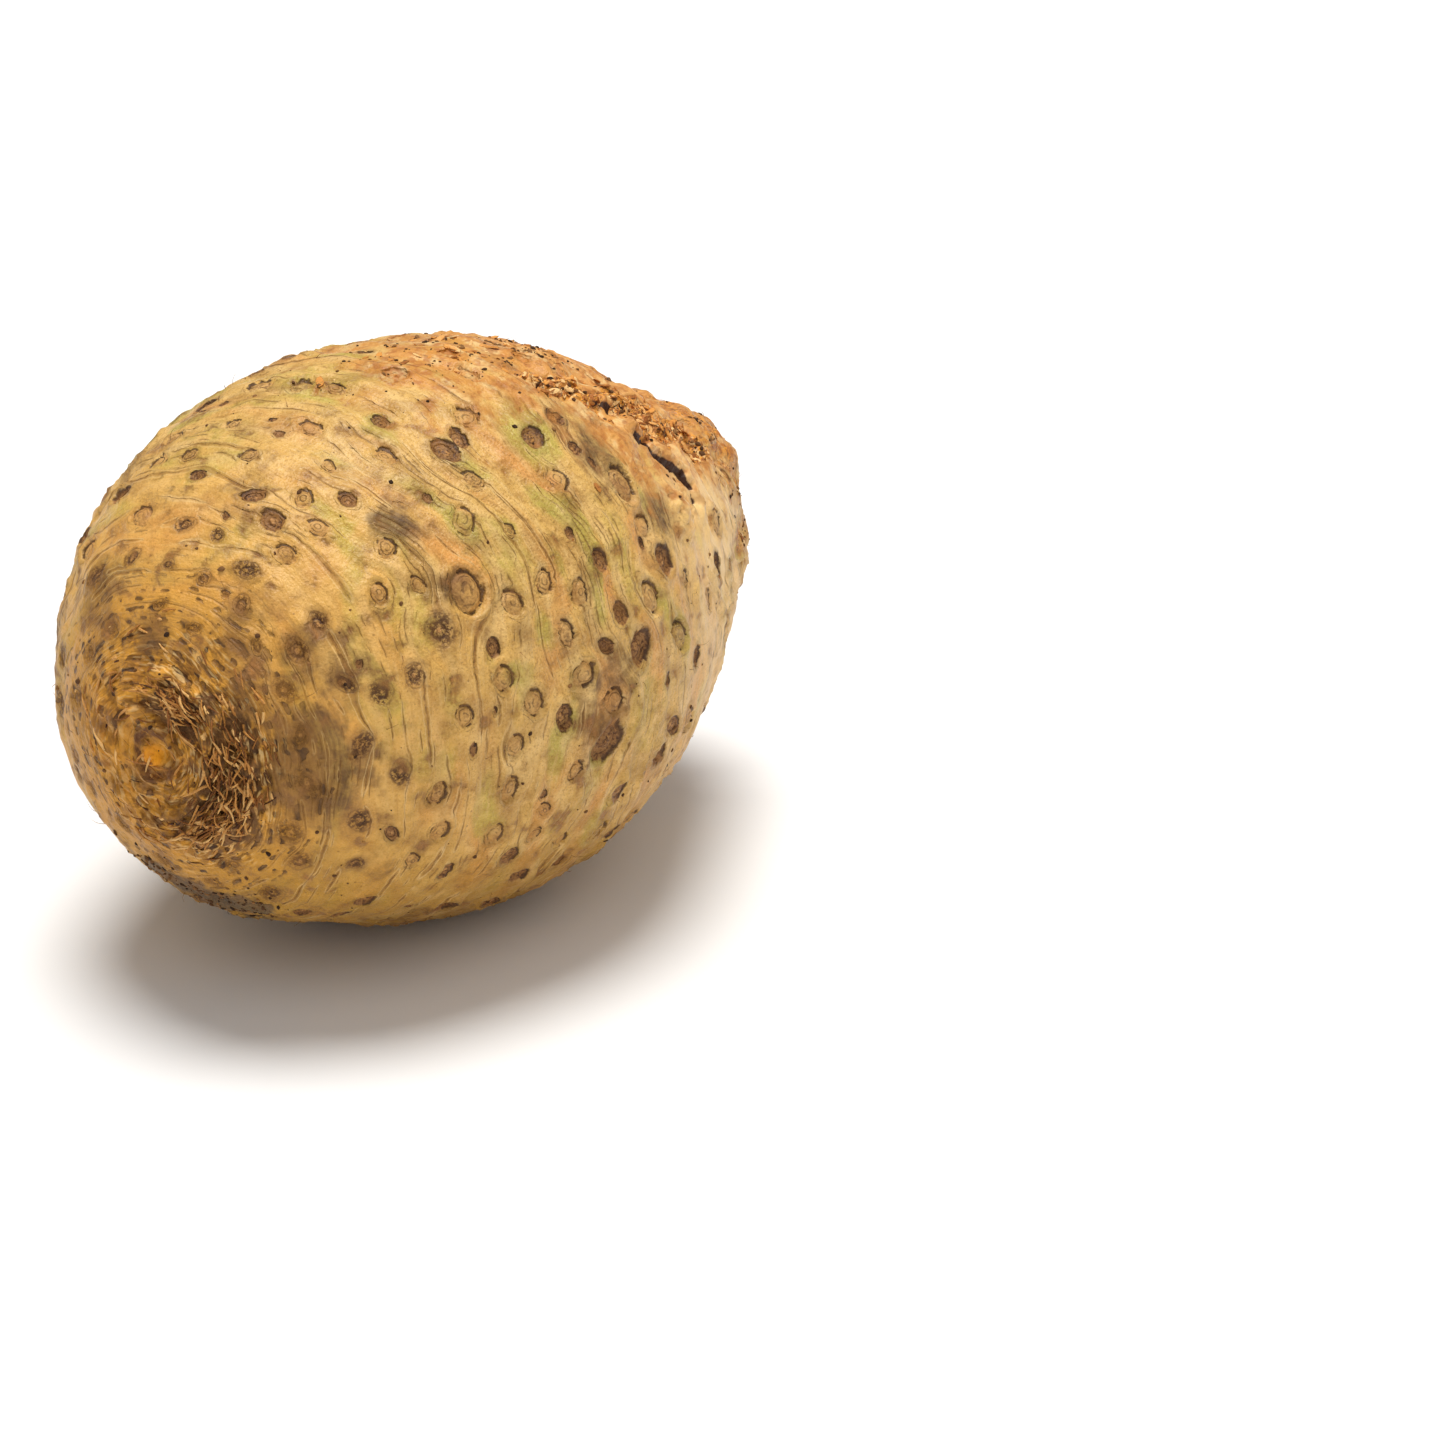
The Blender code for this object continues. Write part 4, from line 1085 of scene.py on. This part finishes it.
    # Relief in millimetres, finer than the mesh holds
    height = 0.22 * streaks + 0.40 * wavy + 0.24 * crumbly + 0.13 * grit
    height = height - 0.22 * crease_share - 0.34 * shaded
    height = height - plain_scar * (0.30 * rim + 0.14 * second + 0.12 * third + 0.12 * outer)
    height = height - inside * dark * 0.16 * fibrous - 0.14 * eye_lines - 0.10 * core
    height = height - 0.50 * inner * shreds - 0.35 * dash_zone * dashes * clear
    height = height - (torn + 0.25 * end + 0.4 * soil + 0.5 * mat) * 0.9 * speckle
    normal = skin.node("ShaderNodeBump", None, {"Strength": 1.0, "Distance": 0.001, "Height": height},
                       output="Normal")
    roughness = 0.42 + 0.12 * mottled + 0.24 * torn.larger(inner) + 0.14 * stain + 0.12 * inside
    for result, name in ((colour, "Base Color"), (roughness, "Roughness"), (normal, "Normal")):
        material.node_tree.links.new(result.socket, shader.inputs[name])
    shader.inputs["Specular IOR Level"].default_value = 0.3
    return material


root_skin.data.materials.append(skin_material())
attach(root_skin, "root")
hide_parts("celeriac")


# The fibres of the crown
# Leaf stalks that dried and frayed left stiff fibres. They lie matted round the bud, mostly along its rings,
# each grown from the crown at one end and curled up a little at the other.

# How a strand is bent from a straight line: its root goes this deep, its tip deeper by the tip's depth, and
# its middle arches up by a quarter of the arch height. It curls by noise of the curls' size.
ARCH_HEIGHT = 0.0010
ROOT_DEPTH = 0.0003
TIP_DEPTH = 0.0006
CURL_SIZE = 0.006


class GrowthSocket(Socket):
    """Geometry nodes that scatter pieces over the root's skin, as dense as one of its fields says."""

    def __init__(self, name, sizes):
        tree = bpy.data.node_groups.new(name, "GeometryNodeTree")
        tree.interface.new_socket("Geometry", in_out="INPUT", socket_type="NodeSocketGeometry")
        for label, value in sizes.items():
            socket = tree.interface.new_socket(label, in_out="INPUT", socket_type="NodeSocketFloat")
            socket.default_value = value
        tree.interface.new_socket("Geometry", in_out="OUTPUT", socket_type="NodeSocketGeometry")
        super().__init__(tree, tree.nodes.new("NodeGroupInput").outputs[0])

    def named(self, name, kind="FLOAT"):
        return self.node("GeometryNodeInputNamedAttribute", {"data_type": kind}, {"Name": name})

    def chance(self, low, high, seed):
        return self.node("FunctionNodeRandomValue", {"data_type": "FLOAT"}, {2: low, 3: high, "Seed": seed},
                         output=1)

    def triple(self, x, y, z):
        return self.node("ShaderNodeCombineXYZ", None, {"X": x, "Y": y, "Z": z})

    def scattered(self, field, per_square_mm, seed):
        """Points on the skin, each with its normal stored as up."""
        density = 1e6 * per_square_mm * self.named(field)
        points = self.node("GeometryNodeDistributePointsOnFaces", {"distribute_method": "RANDOM"},
                           {"Mesh": self, "Density": density, "Seed": seed})
        return self.node("GeometryNodeStoreNamedAttribute", {"data_type": "FLOAT_VECTOR", "domain": "POINT"},
                         {"Geometry": points, "Name": "up", "Value": points.beside("Normal")})

    def placed(self, points, instance, spin, tilt, scale):
        """An instance at each point, its X along the rings, spun about the normal and then tilted."""
        rotation = self.node("FunctionNodeAxesToRotation", {"primary_axis": "Z", "secondary_axis": "X"},
                             {"Primary Axis": self.named("up", "FLOAT_VECTOR"),
                              "Secondary Axis": self.named("round_way", "FLOAT_VECTOR")})
        for turn in (self.triple(0.0, 0.0, spin), self.triple(0.0, tilt, 0.0)):
            by = self.node("FunctionNodeEulerToRotation", None, {0: turn})
            rotation = self.node("FunctionNodeRotateRotation", {"rotation_space": "LOCAL"},
                                 {"Rotation": rotation, "Rotate By": by})
        placed = self.node("GeometryNodeInstanceOnPoints", None,
                           {"Points": points, "Instance": instance, "Rotation": rotation, "Scale": scale})
        toned = self.node("GeometryNodeStoreNamedAttribute", {"data_type": "FLOAT", "domain": "INSTANCE"},
                          {"Geometry": placed, "Name": "tone", "Value": self.chance(0.0, 1.0, 91)})
        return self.node("GeometryNodeRealizeInstances", None, {"Geometry": toned})

    def shaken(self, geometry, size, amount):
        """The geometry with its points moved by noise of a size."""
        place = self.node("GeometryNodeInputPosition")
        noise = self.node("ShaderNodeTexNoise", {"noise_dimensions": "3D"},
                          {"Vector": place, "Scale": 1 / size, "Detail": 1.0}, output="Color")
        middle = (0.5, 0.5, 0.5)
        centred = self.node("ShaderNodeVectorMath", {"operation": "SUBTRACT"}, {0: noise, 1: middle})
        offset = self.node("ShaderNodeVectorMath", {"operation": "SCALE"}, {0: centred, "Scale": amount})
        return self.node("GeometryNodeSetPosition", None, {"Geometry": geometry, "Offset": offset})

    def finish(self, mesh, material):
        """Ends the tree: plain smooth faces with the material."""
        whole = self.node("GeometryNodeRealizeInstances", None, {"Geometry": mesh})
        smooth = self.node("GeometryNodeSetShadeSmooth", None, {"Geometry": whole})
        done = self.node("GeometryNodeSetMaterial", None, {"Geometry": smooth, "Material": material})
        end = self.tree.nodes.new("NodeGroupOutput")
        self.tree.links.new(done.socket, end.inputs[0])
        return self.tree


def grown_piece(name, make_tree, field, material, seed, sizes):
    """What a tree grows on the skin where a field says, as a plain mesh that rides with the root."""
    tree = make_tree(name, field, material, seed, sizes)
    host = put_in_scene(name + "_host", root_skin.data)
    modifier = host.modifiers.new("growth", "NODES")
    modifier.node_group = tree
    for item in tree.interface.items_tree:
        if item.in_out == "INPUT" and item.name in sizes:
            modifier[item.identifier] = sizes[item.name]
    evaluated = host.evaluated_get(bpy.context.evaluated_depsgraph_get())
    mesh = bpy.data.meshes.new_from_object(evaluated)
    host.modifiers.clear()
    bpy.data.objects.remove(host)
    mesh.name = name
    piece = put_in_scene(name, mesh)
    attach(piece, "root")


def toned_material(name, stops, roughness):
    """A dry material whose colour goes by each grown piece's own tone, with fine mottling."""
    material, shader = new_material(name)
    dry = SkinSocket(material.node_tree)
    tone = dry.field("tone") + 0.5 * (dry.mottle(0.7, 3, 3.0) - 0.5)
    colour = stops[0]
    step = 1 / (len(stops) - 1)
    for index, stop in enumerate(stops[1:]):
        colour = tone.rise(index * step, (index + 1) * step).over(colour, stop)
    normal = dry.node("ShaderNodeBump", None, {"Distance": 0.0003, "Height": dry.mottle(0.35, 5, 3.0)},
                      output="Normal")
    material.node_tree.links.new(colour.socket, shader.inputs["Base Color"])
    material.node_tree.links.new(normal.socket, shader.inputs["Normal"])
    shader.inputs["Roughness"].default_value = roughness
    shader.inputs["Specular IOR Level"].default_value = 0.3
    return material


def strand_tree(name, field, material, seed, sizes):
    """Curled tapering strands that grow along the skin's rings."""
    grow = GrowthSocket(name, sizes)
    points = grow.scattered(field, grow.beside("Per square mm"), seed)
    line = grow.node("GeometryNodeCurvePrimitiveLine", None, {"Start": (0, 0, 0), "End": (1, 0, 0)})
    line = grow.node("GeometryNodeResampleCurve", None, {"Curve": line, "Count": 7})
    way = grow.math("ROUND", grow.chance(0.0, 1.0, seed + 1))
    spread = grow.chance(-1.0, 1.0, seed + 2)
    spin = math.pi * way + spread * spread * spread * grow.beside("Spin") * 2 + spread * grow.beside("Spin")
    tilt = 0.0 - grow.beside("Lift") * grow.chance(0.0, 1.0, seed + 3)
    length = grow.chance(grow.beside("Shortest"), grow.beside("Longest"), seed + 4)
    strands = grow.placed(points, line, spin, tilt, length)
    strands = grow.shaken(strands, CURL_SIZE, grow.beside("Curl"))
    along = grow.node("GeometryNodeSplineParameter")
    rise = ARCH_HEIGHT * along * (1 - along) - ROOT_DEPTH - TIP_DEPTH * along * along
    offset = grow.node("ShaderNodeVectorMath", {"operation": "SCALE"},
                       {0: grow.named("up", "FLOAT_VECTOR"), "Scale": rise})
    strands = grow.node("GeometryNodeSetPosition", None, {"Geometry": strands, "Offset": offset})
    taper = grow.beside("Thickness") * (0.5 + 0.5 * grow.named("tone")) * (1.0 - 0.75 * along)
    profile = grow.node("GeometryNodeCurvePrimitiveCircle", None, {"Resolution": 4, "Radius": 0.5})
    mesh = grow.node("GeometryNodeCurveToMesh", None,
                     {"Curve": strands, "Profile Curve": profile, "Scale": taper, "Fill Caps": True})
    return grow.finish(mesh, material)


fibre_stuff = toned_material("dried fibre", (paint(64, 34, 12), paint(138, 84, 32), paint(200, 138, 66),
                                             paint(232, 184, 114)), 0.65)
grown_piece("crown_fibres", strand_tree, "fibres", fibre_stuff, 31, {
    "Per square mm": 2.0, "Shortest": 0.0014, "Longest": 0.0058, "Thickness": 0.00084, "Spin": 0.30,
    "Lift": 0.07, "Curl": 0.0019})


# Crumbs of soil and torn skin
# Dried soil and bits of torn skin cling along the top, in the torn band and where the root lay in soil. Each
# is a small ball, pressed flat and made uneven by noise of this size.
UNEVENNESS = 0.0008


def lump_tree(name, field, material, seed, sizes):
    """Small uneven lumps pressed into the skin."""
    grow = GrowthSocket(name, sizes)
    points = grow.scattered(field, grow.beside("Per square mm"), seed)
    ball = grow.node("GeometryNodeMeshIcoSphere", None, {"Radius": 1.0, "Subdivisions": 2})
    size = grow.chance(0.0, 1.0, seed + 1)
    size = grow.beside("Smallest") + (grow.beside("Largest") - grow.beside("Smallest")) * size * size
    long = grow.chance(0.8, grow.beside("Stretch"), seed + 2)
    scale = grow.triple(size * long, size, size * grow.beside("Flatness"))
    spin = grow.chance(-3.1, 3.1, seed + 3)
    tilt = grow.beside("Tilt") * grow.chance(-1.0, 1.0, seed + 4)
    lumps = grow.placed(points, ball, spin, tilt, scale)
    lumps = grow.shaken(lumps, UNEVENNESS, 0.8 * grow.beside("Largest"))
    return grow.finish(lumps, material)


crumb_stuff = toned_material("soil crumb", (paint(54, 34, 18), paint(96, 64, 36), paint(146, 104, 60)), 0.9)
grown_piece("soil_crumbs", lump_tree, "crumbs", crumb_stuff, 41, {
    "Per square mm": 1.4, "Smallest": 0.00015, "Largest": 0.00055, "Flatness": 0.7, "Tilt": 0.5,
    "Stretch": 1.7})
flake_stuff = toned_material("torn skin", (paint(150, 88, 36), paint(228, 156, 74), paint(246, 202, 136)),
                             0.8)
grown_piece("skin_flakes", lump_tree, "flakes", flake_stuff, 51, {
    "Per square mm": 2.2, "Smallest": 0.00025, "Largest": 0.00085, "Flatness": 0.20, "Tilt": 0.40,
    "Stretch": 3.2})


# Fine root hairs
# Short dry root hairs stand here and there on the skin, and more thickly at both ends.
hair_stuff = toned_material("root hair", (paint(96, 60, 30), paint(170, 120, 66)), 0.75)
grown_piece("root_hairs", strand_tree, "hairs", hair_stuff, 61, {
    "Per square mm": 1.0, "Shortest": 0.0012, "Longest": 0.0040, "Thickness": 0.00017, "Spin": 3.0,
    "Lift": 0.9, "Curl": 0.0018})


# The studio
# A plain white floor under a wide soft light from above and behind, seen from the photograph's place.
FLOOR_SIZE = 8.0
CAMERA_AZIMUTH = -58.0
CAMERA_ELEVATION = 22.5
CAMERA_DISTANCE = 0.756
CAMERA_LENS = 90.0
CAMERA_SENSOR = 36.0
# The root's middle stands left of and above the frame's middle.
VIEW_RIGHT = 0.0602
VIEW_DOWN = 0.0225
# Each light is as wide as a soft box: where it comes from, as up, right and away from the camera, its
# strength, its spread in degrees and its colour.
LIGHTS = {
    "key": ((1.0, 0.0, 0.10), 3.0, 30, (1.0, 0.985, 0.96)),
    "front": ((0.8, 0.3, -0.8), 0.62, 60, (1.0, 0.98, 0.95)),
}
ROOM_LIGHT = 0.25
FLOOR_COLOUR = (0.90, 0.90, 0.90, 1.0)


def view_axes():
    """The camera's right, up and back in the world."""
    azimuth = math.radians(CAMERA_AZIMUTH)
    elevation = math.radians(CAMERA_ELEVATION)
    back = Vector((math.sin(azimuth) * math.cos(elevation), -math.cos(azimuth) * math.cos(elevation),
                   math.sin(elevation)))
    right = Vector((math.cos(azimuth), math.sin(azimuth), 0))
    return right, back.cross(right), back


def studio_floor():
    mesh = bpy.data.meshes.new("floor")
    half = FLOOR_SIZE / 2
    corners = [(-half, -half, 0), (half, -half, 0), (half, half, 0), (-half, half, 0)]
    mesh.from_pydata(corners, [], [(0, 1, 2, 3)])
    floor = put_in_scene("floor", mesh)
    material, shader = new_material("white floor")
    shader.inputs["Base Color"].default_value = FLOOR_COLOUR
    shader.inputs["Roughness"].default_value = 0.9
    shader.inputs["Specular IOR Level"].default_value = 0.1
    mesh.materials.append(material)


def photo_camera():
    right, up, back = view_axes()
    lens = bpy.data.cameras.new("camera")
    lens.lens = CAMERA_LENS
    lens.sensor_width = CAMERA_SENSOR
    camera = put_in_scene("camera", lens)
    place = Vector(axis_place) + CAMERA_DISTANCE * back + VIEW_RIGHT * right - VIEW_DOWN * up
    camera.matrix_world = Matrix.Translation(place) @ Matrix((right, up, back)).transposed().to_4x4()
    bpy.context.scene.camera = camera


def studio_lights():
    right, _, back = view_axes()
    away_from_camera = Vector((-back.x, -back.y, 0)).normalized()
    for name, ((up, sideways, away), strength, spread, colour) in LIGHTS.items():
        light = bpy.data.lights.new(name, "SUN")
        light.energy = strength
        light.angle = math.radians(spread)
        light.color = colour
        towards = up * Vector((0, 0, 1)) + sideways * right + away * away_from_camera
        put_in_scene(name, light).rotation_euler = towards.to_track_quat("Z", "Y").to_euler()
    world = bpy.data.worlds.new("studio")
    world.use_nodes = True
    background = world.node_tree.nodes["Background"]
    background.inputs["Color"].default_value = (1.0, 1.0, 1.0, 1.0)
    background.inputs["Strength"].default_value = ROOM_LIGHT
    bpy.context.scene.world = world
    bpy.context.scene.view_settings.view_transform = "Standard"


studio_floor()
photo_camera()
studio_lights()
